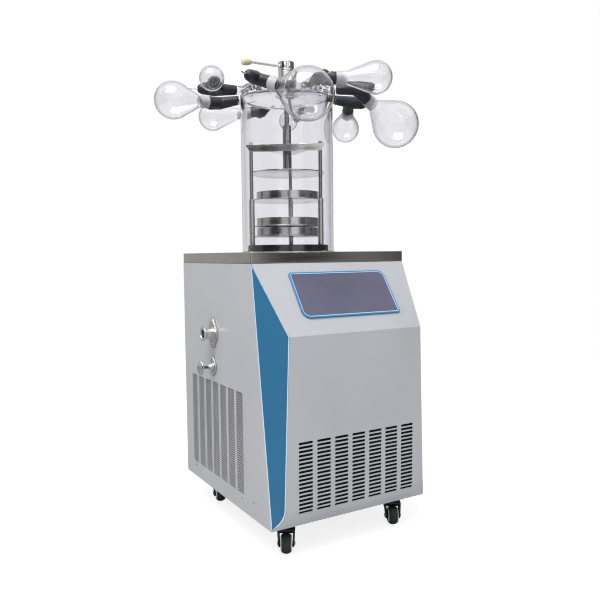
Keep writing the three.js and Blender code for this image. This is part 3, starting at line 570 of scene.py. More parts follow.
class Form:
    """Faces of one piece, in millimetres, each with the index of its finish."""

    def __init__(self) -> None:
        """An empty form."""
        self.bm = bmesh.new()

    def lathe(
        self,
        profile: Sequence[Point],
        place: Matrix = HERE,
        sides: int = 64,
        finish: Callable[[float, float], int] | int = 0,
    ) -> "Form":
        """Turns a section about Z.

        Args:
            profile: (radius, height) pairs. It ends on the axis or on its own start.
            place: Where the turned body lies.
            sides: Facets round the axis.
            finish: The finish's index, or what gives it from the middle of a band.

        Returns:
            The form.
        """
        rings = []
        for radius, height in profile:
            count = 1 if radius < 1e-6 else sides
            ring = []
            for side in range(count):
                angle = TAU * side / sides
                spot = Vector((radius * math.cos(angle), radius * math.sin(angle), height))
                ring.append(self.bm.verts.new(place @ spot))
            rings.append(ring)
        if len(rings[0]) > 1 and Vector(profile[0]) == Vector(profile[-1]):
            rings[-1] = rings[0]
        for at, (lower, upper) in enumerate(zip(rings, rings[1:])):
            (r0, z0), (r1, z1) = profile[at], profile[at + 1]
            tag = finish((r0 + r1) / 2, (z0 + z1) / 2) if callable(finish) else finish
            self._band(lower, upper, sides, tag)
        loose = [vert for vert in self.bm.verts if not vert.link_faces]
        bmesh.ops.delete(self.bm, geom=loose, context="VERTS")
        return self

    def _band(self, lower: list, upper: list, sides: int, tag: int) -> None:
        """The faces between two rings, either of which may be a point."""
        if len(lower) == len(upper) == 1:
            return
        for side in range(sides):
            after = (side + 1) % sides
            corners = [lower[side % len(lower)], lower[after % len(lower)]]
            corners += [upper[after % len(upper)], upper[side % len(upper)]]
            self.bm.faces.new(dict.fromkeys(corners)).material_index = tag

    def rings(self, loops: Sequence[Sequence[Vector]], tags: Sequence[int]) -> "Form":
        """Skins a row of loops with equal counts, and closes its two ends."""
        made = [[self.bm.verts.new(spot) for spot in loop] for loop in loops]
        for lower, upper, tag in zip(made, made[1:], tags):
            self._band(lower, upper, len(lower), tag)
        for end, tag in ((made[0], tags[0]), (made[-1], tags[-1])):
            self.bm.faces.new(end).material_index = tag
        return self

    def mesh(self) -> Mesh:
        """The form as a mesh in millimetres, facing out."""
        return written(self.bm, bpy.data.meshes.new("form"))


def altered(mesh: Mesh, kind: str, **settings: Any) -> Mesh:
    """A mesh after one modifier, as a new plain mesh."""
    carrier = linked("work", mesh)
    modifier = carrier.modifiers.new("step", kind)
    for key, value in settings.items():
        setattr(modifier, key, value)
    return applied(carrier)


def combined(first: Mesh, second: Mesh, operation: str) -> Mesh:
    """Two meshes joined ("UNION") or the second cut from the first ("DIFFERENCE")."""
    other = linked("other", second)
    made = altered(first, "BOOLEAN", operation=operation, object=other, solver="EXACT")
    bpy.data.objects.remove(other)
    return made


def merged(*meshes: Mesh) -> Mesh:
    """Several closed meshes as one mesh, each still a shell of its own."""
    bm = bmesh.new()
    for mesh in meshes:
        bm.from_mesh(mesh)
    made = bpy.data.meshes.new("merged")
    bm.to_mesh(made)
    bm.free()
    return made


def bevelled(mesh: Mesh, width: float, segments: int = 2) -> Mesh:
    """A mesh with its sharp edges rounded."""
    return altered(
        mesh, "BEVEL", width=width, segments=segments, limit_method="ANGLE",
        angle_limit=math.radians(40), use_clamp_overlap=True, harden_normals=False,
    )


def turned(
    section: Sequence[Point],
    place: Matrix = HERE,
    sides: int = 64,
    steps: int = 3,
    finish: Callable[[float, float], int] | int = 0,
) -> Mesh:
    """A section with eased corners turned about Z; the rest is as for Form.lathe."""
    return Form().lathe(eased(section, steps), place, sides, finish).mesh()


def bar(
    radius: float, low: float, high: float, place: Matrix = HERE, sides: int = 64, finish: int = 0
) -> Mesh:
    """A round bar with square ends, about Z."""
    section = [(0, low), (radius, low), (radius, high), (0, high)]
    return turned(section, place, sides, finish=finish)


def slab(
    outline: Sequence[Point], low: float, high: float, place: Matrix = HERE, edge: float = 0.0,
    segments: int = 2,
) -> Mesh:
    """An outline of (x, y) points raised between two heights, with its edges rounded."""
    loops = [[place @ Vector((x, y, z)) for x, y in outline] for z in (low, high)]
    mesh = Form().rings(loops, [0]).mesh()
    return bevelled(mesh, edge, segments) if edge else mesh


def oblong(x0: float, y0: float, x1: float, y1: float) -> list[Point]:
    """A rectangle from its lower left corner and its upper right one."""
    return [(x0, y0), (x1, y0), (x1, y1), (x0, y1)]


def united(mesh: Mesh, *others: Mesh) -> Mesh:
    """A mesh with others joined to it."""
    for other in others:
        mesh = combined(mesh, other, "UNION")
    return mesh


def drilled(mesh: Mesh, *others: Mesh) -> Mesh:
    """A mesh with others cut from it."""
    for other in others:
        mesh = combined(mesh, other, "DIFFERENCE")
    return mesh


def fitted(
    name: str,
    mesh: Mesh,
    place: Matrix,
    finishes: Sequence[Finish],
    nodes: Sequence[str],
    smooth: float = 32.0,
    stands: bool = True,
) -> bpy.types.Object:
    """Makes a piece of a mesh, in its place and on its body.

    Args:
        name: The piece's name.
        mesh: Its mesh, in millimetres.
        place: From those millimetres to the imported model's metres.
        finishes: A finish for each index in the mesh.
        nodes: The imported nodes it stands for; it rides with the first.
        smooth: Edges sharper than this many degrees stay sharp.
        stands: False for an extra piece that only rides with the first node.

    Returns:
        The piece.
    """
    mesh.transform(place)
    mesh.name = name
    tags = [face.material_index for face in mesh.polygons]
    mesh.materials.clear()
    for finish in finishes:
        mesh.materials.append(finish.material())
    mesh.polygons.foreach_set("material_index", tags)
    mesh.shade_smooth()
    mesh.set_sharp_from_angle(angle=math.radians(smooth))
    mesh.update()
    piece = linked(name, mesh)
    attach(piece, frame["nodes"][nodes[0]]["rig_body"])
    if stands:
        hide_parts(*nodes)
    log.info("%s: %d faces", name, len(mesh.polygons))
    return piece


# ---------------------------------------------------------------- what repeats


class Repeat:
    """A Geometry Nodes tree with named inputs."""

    def __init__(self, name: str, inputs: dict[str, str]) -> None:
        """Starts the tree.

        Args:
            name: The tree's name.
            inputs: The socket type of each named input.
        """
        self.tree = bpy.data.node_groups.new(name, "GeometryNodeTree")
        face = self.tree.interface
        face.new_socket(name="Geometry", in_out="INPUT", socket_type="NodeSocketGeometry")
        for key, kind in inputs.items():
            face.new_socket(name=key, in_out="INPUT", socket_type=kind)
        face.new_socket(name="Geometry", in_out="OUTPUT", socket_type="NodeSocketGeometry")
        self.source = self.tree.nodes.new("NodeGroupInput")

    def given(self, name: str) -> bpy.types.NodeSocket:
        """A named input's socket inside the tree."""
        return self.source.outputs[name]

    def node(self, kind: str, settings: dict, inputs: dict, output: int = 0) -> bpy.types.NodeSocket:
        """Adds a node; its inputs are numbers, sockets or lists of sockets."""
        made = self.tree.nodes.new(kind)
        for key, value in settings.items():
            setattr(made, key, value)
        for key, value in inputs.items():
            many = value if isinstance(value, list) else [value]
            for one in many:
                if isinstance(one, bpy.types.NodeSocket):
                    self.tree.links.new(one, made.inputs[key])
                else:
                    made.inputs[key].default_value = one
        return made.outputs[output]

    def finish(self, geometry: bpy.types.NodeSocket) -> None:
        """Realizes the instances and sets the material."""
        real = self.node("GeometryNodeRealizeInstances", {}, {"Geometry": geometry})
        inputs = {"Geometry": real, "Material": self.given("Material")}
        dressed = self.node("GeometryNodeSetMaterial", {}, inputs)
        end = self.tree.nodes.new("NodeGroupOutput")
        self.tree.links.new(dressed, end.inputs[0])

    def grow(self, seat: Mesh, **values: Any) -> Mesh:
        """Runs the tree on a mesh.

        Args:
            seat: The mesh that the tree starts from.
            values: Each input's value; underscores in a name stand for spaces.

        Returns:
            The plain mesh that it makes.
        """
        keys = {item.name: item.identifier for item in self.tree.interface.items_tree}
        carrier = linked("seat", seat)
        modifier = carrier.modifiers.new("repeat", "NODES")
        modifier.node_group = self.tree
        for name, value in values.items():
            modifier[keys[name.replace("_", " ")]] = value
        return applied(carrier)


def perforated_sheet() -> Repeat:
    """A flat sheet inside the seat's outline, pierced by a grid of slots with round ends."""
    numbers = ("Span", "Rise", "Slot Length", "Slot Height", "Slot Round", "Thickness")
    kinds = {"Middle": "NodeSocketVector", "Material": "NodeSocketMaterial"}
    kinds |= dict.fromkeys(("Columns", "Rows"), "NodeSocketInt")
    kinds |= dict.fromkeys(numbers, "NodeSocketFloat")
    sheet = Repeat("perforated_sheet", kinds)
    node, given = sheet.node, sheet.given
    outline = node("GeometryNodeMeshToCurve", {}, {"Mesh": given("Geometry")})
    counts = {"Vertices X": given("Columns"), "Vertices Y": given("Rows")}
    grid = node("GeometryNodeMeshGrid", {}, {"Size X": given("Span"), "Size Y": given("Rise"), **counts})
    seats = node("GeometryNodeTransform", {}, {"Geometry": grid, "Translation": given("Middle")})
    sizes = {"Width": given("Slot Length"), "Height": given("Slot Height")}
    slot = node("GeometryNodeCurvePrimitiveQuadrilateral", {}, sizes)
    rounding = {"Curve": slot, "Count": 4, "Radius": given("Slot Round"), "Limit Radius": True}
    slot = node("GeometryNodeFilletCurve", {"mode": "POLY"}, rounding)
    slots = node("GeometryNodeInstanceOnPoints", {}, {"Points": seats, "Instance": slot})
    slots = node("GeometryNodeRealizeInstances", {}, {"Geometry": slots})
    curves = node("GeometryNodeJoinGeometry", {}, {"Geometry": [outline, slots]})
    face = node("GeometryNodeFillCurve", {"mode": "TRIANGLES"}, {"Curve": curves})
    raising = {"Mesh": face, "Offset Scale": given("Thickness"), "Individual": False}
    raised = node("GeometryNodeExtrudeMesh", {"mode": "FACES"}, raising)
    under = node("GeometryNodeFlipFaces", {}, {"Mesh": face})
    whole = node("GeometryNodeJoinGeometry", {}, {"Geometry": [raised, under]})
    sheet.finish(node("GeometryNodeMergeByDistance", {}, {"Geometry": whole, "Distance": 0.001}))
    return sheet


def screw_row() -> Repeat:
    """A screw on every point of the seat, all facing one way."""
    kinds = {"Screw": "NodeSocketObject", "Facing": "NodeSocketVector", "Material": "NodeSocketMaterial"}
    row = Repeat("screw_row", kinds)
    pattern = row.tree.nodes.new("GeometryNodeObjectInfo")
    row.tree.links.new(row.given("Screw"), pattern.inputs["Object"])
    points = row.node("GeometryNodeMeshToPoints", {}, {"Mesh": row.given("Geometry")})
    facing = row.node("FunctionNodeEulerToRotation", {}, {"Euler": row.given("Facing")})
    inputs = {"Points": points, "Instance": pattern.outputs["Geometry"], "Rotation": facing}
    row.finish(row.node("GeometryNodeInstanceOnPoints", {}, inputs))
    return row


SHEET_RECIPE = perforated_sheet()
SCREW_RECIPE = screw_row()


@dataclass(frozen=True)
class Vents:
    """A field of slots in a flat sheet, in millimetres.

    Attributes:
        columns: Slots across.
        rows: Slots up.
        span: From the first slot's middle to the last one's, across.
        rise: The same, up.
        middle: The field's middle.
        slot: A slot's length, height and rounding.
    """

    columns: int
    rows: int
    span: float
    rise: float
    middle: Point
    slot: Point

    def punched(self, outline: Sequence[Point], thickness: float) -> Mesh:
        """A sheet inside an outline, with these slots in it."""
        seat = bpy.data.meshes.new("outline")
        count = len(outline)
        edges = [(at, (at + 1) % count) for at in range(count)]
        seat.from_pydata([(x, y, 0.0) for x, y in outline], edges, [])
        length, height, rounding = self.slot
        return SHEET_RECIPE.grow(
            seat, Columns=self.columns, Rows=self.rows, Span=self.span, Rise=self.rise,
            Middle=(*self.middle, 0.0), Slot_Length=length, Slot_Height=height, Slot_Round=rounding,
            Thickness=thickness, Material=GREY_ENAMEL.material(),
        )


def screws(
    name: str, spots: Sequence[Point], radius: float, place: Matrix, node: str,
    facing: Point = (0, 0, 0),
) -> None:
    """Domed screws with crossed slots.

    Args:
        name: The piece's name.
        spots: Where the heads sit, in millimetres.
        radius: Of a head.
        place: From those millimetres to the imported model's metres.
        node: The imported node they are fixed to.
        facing: The turn from +Z to the way they face, as Euler angles.
    """
    high = radius * 0.55
    dome = [(0, -0.6), (radius, -0.6), (radius, high * 0.35, 0.5), (radius * 0.5, high), (0, high)]
    half, deep = radius * 0.62, radius * 0.11
    blade, floor = oblong(-half, -deep, half, deep), high * 0.35
    cuts = [slab(blade, floor, high + 1, spun(turn, "Z")) for turn in (0.0, QUARTER)]
    pattern = bpy.data.objects.new("screw_pattern", drilled(turned(dome, sides=16), *cuts))
    seat = bpy.data.meshes.new("spots")
    seat.from_pydata([tuple(spot) for spot in spots], [], [])
    made = SCREW_RECIPE.grow(seat, Screw=pattern, Facing=facing, Material=BRIGHT_STEEL.material())
    bpy.data.objects.remove(pattern)
    fitted(name, made, place, [BRIGHT_STEEL], [node], stands=False)


# ---------------------------------------------------------------- cabinet


@dataclass
class Cabinet:
    """The enclosure: worktop, folded front, corner strips, side, rear and base panels."""

    width: float = 465.0
    depth: float = 453.0
    top: float = WORKTOP_HEIGHT
    thick: float = 28.0
    bottom: float = 79.0
    sheet: float = 1.5
    crease_drop: float = 168.0
    crease_out: float = 119.0
    crease_inset: float = 38.0
    bend_out: float = 114.3
    bend_radius: float = 60.0
    bend_turn: float = 0.663
    foot_out: float = 86.5
    cheek_share: float = 0.7
    edge_inset: float = 1.8
    edge_line: float = 2.6
    well_hole: float = 114.0

    def __post_init__(self) -> None:
        """Works out the heights and the section of the front."""
        self.place = Datum.CABINET.matrix()
        self.half = self.width / 2
        self.front = -self.depth / 2
        self.rear = self.depth / 2
        self.under = self.top - self.thick
        self.section = self.front_section()

    def side_out(self, z: float) -> float:
        """How far the side panels' slanted edge stands in front of the worktop at a height."""
        return self.foot_out * (self.under - z) / (self.under - self.bottom)

    def front_section(self) -> list[tuple[float, float]]:
        """The front's section from top to bottom, as (stand-out, height), with its bends."""
        end_out = self.bend_out - self.bend_radius * (1 - math.cos(self.bend_turn))
        end = self.bottom + (end_out - self.foot_out) / math.tan(self.bend_turn)
        start = end + self.bend_radius * math.sin(self.bend_turn)
        self.bend_start = start
        upper = [(0.0, self.under - GAP), (self.crease_out, self.under - self.crease_drop, 3.0)]
        points = eased([*upper, (self.bend_out, start)], 4)[:-1]
        for step in range(13):
            turn = self.bend_turn * step / 12
            out = self.bend_out - self.bend_radius * (1 - math.cos(turn))
            points.append((out, start - self.bend_radius * math.sin(turn)))
        points.append((self.foot_out, self.bottom))
        return points

    def inset(self, out: float, z: float) -> float:
        """How far the front's edge stands inside the side panel at a point of the section."""
        crease = self.under - self.crease_drop
        if z >= crease:
            share = (self.under - z) / self.crease_drop
            return self.edge_inset + (self.crease_inset - self.edge_inset) * share
        if z > self.bend_start:
            share = (crease - z) / (crease - self.bend_start)
            foot = self.cheek_share * (self.bend_out - self.side_out(self.bend_start))
            return self.crease_inset + (foot - self.crease_inset) * share
        return max(self.cheek_share * (out - self.side_out(z)), self.edge_inset)

    def build(self) -> None:
        """Builds and dresses every panel."""
        self.worktop()
        self.fascia()
        self.corner_strips()
        self.left_panel()
        self.right_panel()
        self.rear_and_base()
        self.display()
        self.shade_pads()
        self.fixings()

    def worktop(self) -> None:
        """The folded stainless top with its hole for the cold trap."""
        outer = rounded_outline(self.half, self.depth / 2, (2.5,) * 4, 3)
        inner = rounded_outline(self.half - self.sheet, self.depth / 2 - self.sheet, (1.5,) * 4, 3)
        shell = drilled(
            slab(outer, self.under, self.top, edge=1.6, segments=3),
            slab(inner, self.under - 1, self.top - self.sheet),
            bar(self.well_hole, self.under, self.top + 1),
        )
        fitted("worktop_sheet", shell, self.place, [WORKTOP_STEEL], ["worktop"])

    def fascia(self) -> None:
        """The folded front panel with its slotted vents, punched flat and then bent."""
        lengths = [0.0]
        for start, end in zip(self.section, self.section[1:]):
            lengths.append(lengths[-1] + math.dist(start, end))
        halves = [(self.half - self.inset(*spot), s) for spot, s in zip(self.section, lengths)]
        outline = [(half, -s) for half, s in halves] + [(-half, -s) for half, s in reversed(halves)]
        columns, rows, bridge, rise, lowest, margin = 7, 18, 11.4, 9.79, 121.0, 22.0
        pitch = (2 * (self.half - self.crease_inset - margin) + bridge) / columns
        top_row = lowest + (rows - 1) * rise
        along_top = next(
            s + (z - top_row)
            for s, (_, z), (_, after) in zip(lengths, self.section, self.section[1:])
            if z >= top_row > after
        )
        middle = (0.0, -(along_top + (rows - 1) * rise / 2))
        slot = (pitch - bridge, 6.1, 2.9)
        vents = Vents(columns, rows, (columns - 1) * pitch, (rows - 1) * rise, middle, slot)
        bent = self.folded(vents.punched(outline, self.sheet), lengths)
        fitted("front_panel", bent, self.place, [GREY_ENAMEL], ["front_fascia"], 20.0)

    def folded(self, flat: Mesh, lengths: list[float]) -> Mesh:
        """Bends a flat sheet along the front's section.

        Args:
            flat: The sheet, with -Y running down the section and +Z through the sheet.
            lengths: The length of the section up to each of its points.

        Returns:
            The bent sheet.
        """
        bm = bmesh.new()
        bm.from_mesh(flat)
        for length in lengths[1:-1]:
            whole = bm.verts[:] + bm.edges[:] + bm.faces[:]
            fold = {"plane_co": (0, -length, 0), "plane_no": (0, 1, 0)}
            bmesh.ops.bisect_plane(bm, geom=whole, dist=1e-4, **fold)
        spots = [Vector(spot) for spot in self.section]
        runs = [(after - spot).normalized() for spot, after in zip(spots, spots[1:])]
        outside = max(vert.co.z for vert in bm.verts)
        for vert in bm.verts:
            s = -vert.co.y
            at = max(k for k, length in enumerate(lengths[:-1]) if length <= s + 1e-3)
            rest = s - lengths[at]
            run = runs[at]
            spot = spots[at] + run * rest
            joint = runs[at - 1] + run if at and rest < 1e-3 else run
            inward = Vector((joint.y, -joint.x)).normalized()
            if at and rest < 1e-3:
                inward /= max(inward.dot(Vector((run.y, -run.x))), 0.5)
            spot += inward * (outside - vert.co.z)
            vert.co = (vert.co.x, self.front - spot.x, spot.y)
        return written(bm, flat)

    def corner_strips(self) -> None:
        """The blue strips across the front corners, with pale lines along both edges painted as the highlight
        of their rolled edges.
        """
        crease = self.under - self.crease_drop
        top, foot = self.under - 6.0, self.bottom + 4.0
        share = (top - crease) / self.crease_drop
        section = [(self.crease_out * (1 - share), top)]
        section += [point for point in self.section[1:] if foot < point[1] < top]
        share = (foot - self.bottom) / (self.section[-2][1] - self.bottom)
        section.append((self.foot_out + (self.section[-2][0] - self.foot_out) * share, foot))
        for side, name in ((-1, "left"), (1, "right")):
            loops = [
                [Vector((side * x, y, z)) for x, y in self.strip_section(out, z)] for out, z in section
            ]
            form = Form().rings(loops, [0] * (len(loops) - 1))
            sides = [face for face in form.bm.faces if len(face.verts) == 4]
            # Two faces of each ring carry the painted highlight lines along the edges.
            for at, face in enumerate(sides):
                face.material_index = 1 if at % 6 in (3, 5) else 0
            piece, node, finishes = f"corner_strip_{name}", f"cheek_{name}", [BLUE_ENAMEL, PAINTED_EDGE_HIGHLIGHT]
            fitted(piece, form.mesh(), self.place, finishes, [node], 20.0)

    def strip_section(self, out: float, z: float) -> list[tuple[float, float]]:
        """The left strip's section at a height: six corners, with the two lines' inner edges."""
        inset = self.inset(out, z)
        deep = out - self.side_out(z)
        length = math.hypot(deep, inset)
        rear = Vector((-self.half + GAP * inset / deep, self.front - self.side_out(z) - GAP))
        fore = Vector((-self.half + inset - 0.6, self.front - out + 0.6 * deep / inset))
        line = min(self.edge_line / max((fore - rear).length, 1e-6), 0.49)
        inner_rear = rear + Vector((self.sheet * length / deep, 0))
        inner_fore = fore + Vector((0, self.sheet * length / inset))
        near, far = rear.lerp(fore, line), rear.lerp(fore, 1 - line)
        return [tuple(spot) for spot in (rear, inner_rear, inner_fore, fore, far, near)]

    def panel_outline(self) -> list[Point]:
        """A side panel's outline as (Y, Z)."""
        top = self.under - GAP
        foot = self.front - self.foot_out
        return [(self.rear, self.bottom), (self.rear, top), (self.front, top), (foot, self.bottom)]

    def left_panel(self) -> None:
        """The left side with its field of fine slots."""
        low, high, fore, aft, length = 127.0, 382.0, -168.0, 174.0, 39.4
        middle = ((fore + aft) / 2, (low + high) / 2)
        vents = Vents(7, 43, aft - fore - length, high - low, middle, (length, 3.5, 1.7))
        flat = vents.punched(self.panel_outline(), self.sheet)
        self.stand(flat, -1)
        fitted("left_panel", flat, self.place, [GREY_ENAMEL], ["side_panel_left"], 20.0)

    def stand(self, flat: Mesh, side: int) -> None:
        """Stands a sheet drawn as (Y, Z) against a side of the cabinet."""
        bm = bmesh.new()
        bm.from_mesh(flat)
        low = min(vert.co.z for vert in bm.verts)
        for vert in bm.verts:
            y, z, through = vert.co
            vert.co = (side * (self.half - (through - low)), y, z)
        written(bm, flat)

    def right_panel(self) -> None:
        """The plain right side."""
        flat = slab(self.panel_outline(), 0, self.sheet)
        self.stand(flat, 1)
        edged = bevelled(flat, 0.4)
        fitted("right_panel", edged, self.place, [GREY_ENAMEL], ["side_panel_right"])

    def rear_and_base(self) -> None:
        """The rear panel and the base pan."""
        half, high = self.half - self.edge_inset, self.under - GAP
        low = self.bottom + self.sheet + GAP
        outline = rounded_outline(half, (high - low) / 2, (1.5,) * 4, 2)
        place = shifted(0, self.rear, (high + low) / 2) @ spun(QUARTER, "X")
        panel = slab(outline, 0, self.sheet, place, 0.4)
        fitted("rear_sheet", panel, self.place, [GREY_ENAMEL], ["rear_panel"])
        front = self.front - self.foot_out + self.sheet / math.cos(self.bend_turn) + GAP
        pan = oblong(-half, front, half, self.rear)
        base = slab(pan, self.bottom, self.bottom + self.sheet, edge=0.4)
        fitted("base_sheet", base, self.place, [PAN_ENAMEL], ["base_pan"])

    def display(self) -> None:
        """The display window on the slope: a blue rim, a pale line and a glossy film."""
        half_x, half_y, corners = 145.0, 65.5, (22.0, 8.0, 22.0, 8.0)
        slope = math.atan2(self.crease_drop, self.crease_out)
        place = shifted(0, self.front, self.under - GAP) @ spun(slope, "X") @ shifted(3.0, -95.5, 0.6)
        steps = [
            (0, 0.0, 0), (0, 3.4, 0), (0.6, 4.0, 0), (3.6, 4.0, 0),
            (4.4, 3.7, 1), (5.6, 3.6, 1), (6.2, 2.9, 2), (6.6, 2.8, 2),
        ]
        loops = []
        for inset, z, _ in steps:
            radii = [max(radius - inset, 0.6) for radius in corners]
            flat = rounded_outline(half_x - inset, half_y - inset, radii, 8)
            loops.append([place @ Vector((x, y, z)) for x, y in flat])
        mesh = Form().rings(loops, [tag for _, _, tag in steps[1:]]).mesh()
        finishes = [RIM_ENAMEL, LINE_ENAMEL, FILM]
        fitted("display_panel", mesh, self.place, finishes, ["display_window"])

    def shade_pads(self) -> None:
        """Dark pads behind both fields of slots: painted shade for the dark inside of the cabinet."""
        front, side = self.front - 98, 10 - self.half
        for name, outline, low, high, node in (
            ("front_filter", oblong(-186.0, front, 186.0, front + 4), 103.0, 303.0, "front_fascia"),
            ("side_filter", oblong(side, -182.0, side + 4, 188.0), 112.0, 395.0, "side_panel_left"),
        ):
            pad = slab(outline, low, high, edge=1.0)
            fitted(name, pad, self.place, [PAINTED_SHADE_PAD], [node], stands=False)

    def fixings(self) -> None:
        """The screws of the side and rear panels."""
        spots = [(154.0, 113.0), (-157.0, 113.0), (-222.6, 121.5)]
        for side, name in ((-1, "left"), (1, "right")):
            heads = [(side * self.half, y, z) for y, z in spots]
            node = f"side_panel_{name}"
            screws(f"{name}_side_screws", heads, 3.2, self.place, node, (0, side * QUARTER, 0))
        across, up = self.half - 14, (100.0, 245.0, 390.0, 535.0, 680.0)
        heads = [(side * across, self.rear, z) for side in (-1, 1) for z in up]
        screws("rear_screws", heads, 3.2, self.place, "rear_panel", (-QUARTER, 0, 0))


# ---------------------------------------------------------------- casters


@dataclass
class Caster:
    """A swivel caster: a fork with its axle, and the wheel in it."""

    spot: str
    x: float
    y: float
    turn: float
    radius: float = 25.0
    width: float = 28.0
    fork_width: float = 44.0
    sheet: float = 5.0
    lean: float = 0.066
    trail: float = 15.0
    clear: float = 5.0
    top: float = 78.7

    def build(self) -> None:
        """Builds the fork and the wheel."""
        here = Datum.CABINET.matrix() @ shifted(self.x, self.y, 0) @ spun(self.turn, "Z")
        self.fork(here)
        self.wheel(here)

    def fork(self, here: Matrix) -> None:
        """The pressed fork, its swivel head and plate, and the axle with its nuts."""
        half, sheet = self.fork_width / 2, self.sheet
        crown = 2 * self.radius + self.clear
        back, axle, high = -self.trail, self.radius, crown + sheet
        outline = [
            (back - 8, axle - 5), (back - 3, axle - 9), (back + 3, axle - 9), (back + 8, axle - 5),
            (back + 10, axle + 4), (3, crown - 12), (15, crown - 4), (16, high),
            (-18, high), (-21, crown - 6), (back - 9, axle + 5),
        ]
        upright = spun(QUARTER, "Z") @ spun(QUARTER, "X")
        shells = []
        for side, low in ((-1, -half), (1, half - sheet)):
            shear = Matrix.Identity(4)
            shear[0][2], shear[0][3] = side * self.lean, -side * self.lean * crown
            shells.append(slab(outline, low, low + sheet, shear @ upright, 1.8, 3))
        shells.append(slab(oblong(-half, -18, half, 16), crown - 0.5, high, HERE, 1.8, 3))
        shells.append(slab(oblong(1 - half, 11, half - 1, 15), crown - 17, crown + 1, HERE, 1.5, 3))
        plate = self.top - 5
        shells.append(turned([
            (0, high - 2), (17, high - 2), (17, high + 4, 2), (14, high + 8), (14, plate + 1), (0, plate + 1),
        ]))
        shells.append(turned([(0, plate), (23.5, plate, 1), (23.5, self.top, 1), (0, self.top)]))
        name = f"caster_fork_{self.spot}"
        fitted(f"{name}_frame", merged(*shells), here, [BLACK_NYLON], [name])
        lying = shifted(0, back, axle) @ spun(QUARTER, "Y")
        out = half - self.lean * (crown - axle)
        parts = [bar(3.9, -out - 1, out + 1, lying, 32)]
        nut = [(0, out), (5.4, out, 0.5), (5.4, out + 1.6, 1), (3, out + 2.4), (0, out + 2.4)]
        washer = [(0, out - 0.2), (6.6, out - 0.2), (6.6, out + 0.6, 0.3), (0, out + 0.6)]
        for place in (lying @ spun(math.pi, "X"), lying):
            parts += [turned(nut, place, 6), turned(washer, place, 32)]
        fitted(f"{name}_axle", merged(*parts), here, [BRIGHT_STEEL], [name], stands=False)

    def wheel(self, here: Matrix) -> None:
        """The wheel: a rounded tread on a dished hub with a pale bead."""
        half, r = self.width / 2, self.radius * math.cos(math.pi / 14)
        side = [
            (4.5, 3 - half), (8.5, 2.2 - half, 0.6), (9.5, 5 - half, 0.6), (15, 4 - half, 0.8),
            (16, 1 - half, 0.6), (17.4, -half, 0.6), (18.2, 0.5 - half, 0.3), (20.6, 2.4 - half, 0.4),
            (21.6, 4 - half, 1), (r - 1.2, 7 - half, 3), (r, 11 - half, 3),
        ]
        other = [(point[0], -point[1], *point[2:]) for point in reversed(side)]

        def finish(radius: float, height: float) -> int:
            """The hub, the pale bead or the tread."""
            if 18.1 < radius < 20.7 and abs(height) > half - 2.6:
                return 1
            return 0 if radius < 15.6 else 2

        lying = shifted(0, -self.trail, self.radius) @ spun(QUARTER, "Y")
        mesh = turned([*side, *other, side[0]], lying, 72, finish=finish)
        name = f"caster_wheel_{self.spot}"
        fitted(f"{name}_tyre", mesh, here, [BLACK_NYLON, HUB_GREY, TREAD_RUBBER], [name])


# ---------------------------------------------------------------- fittings on the left side


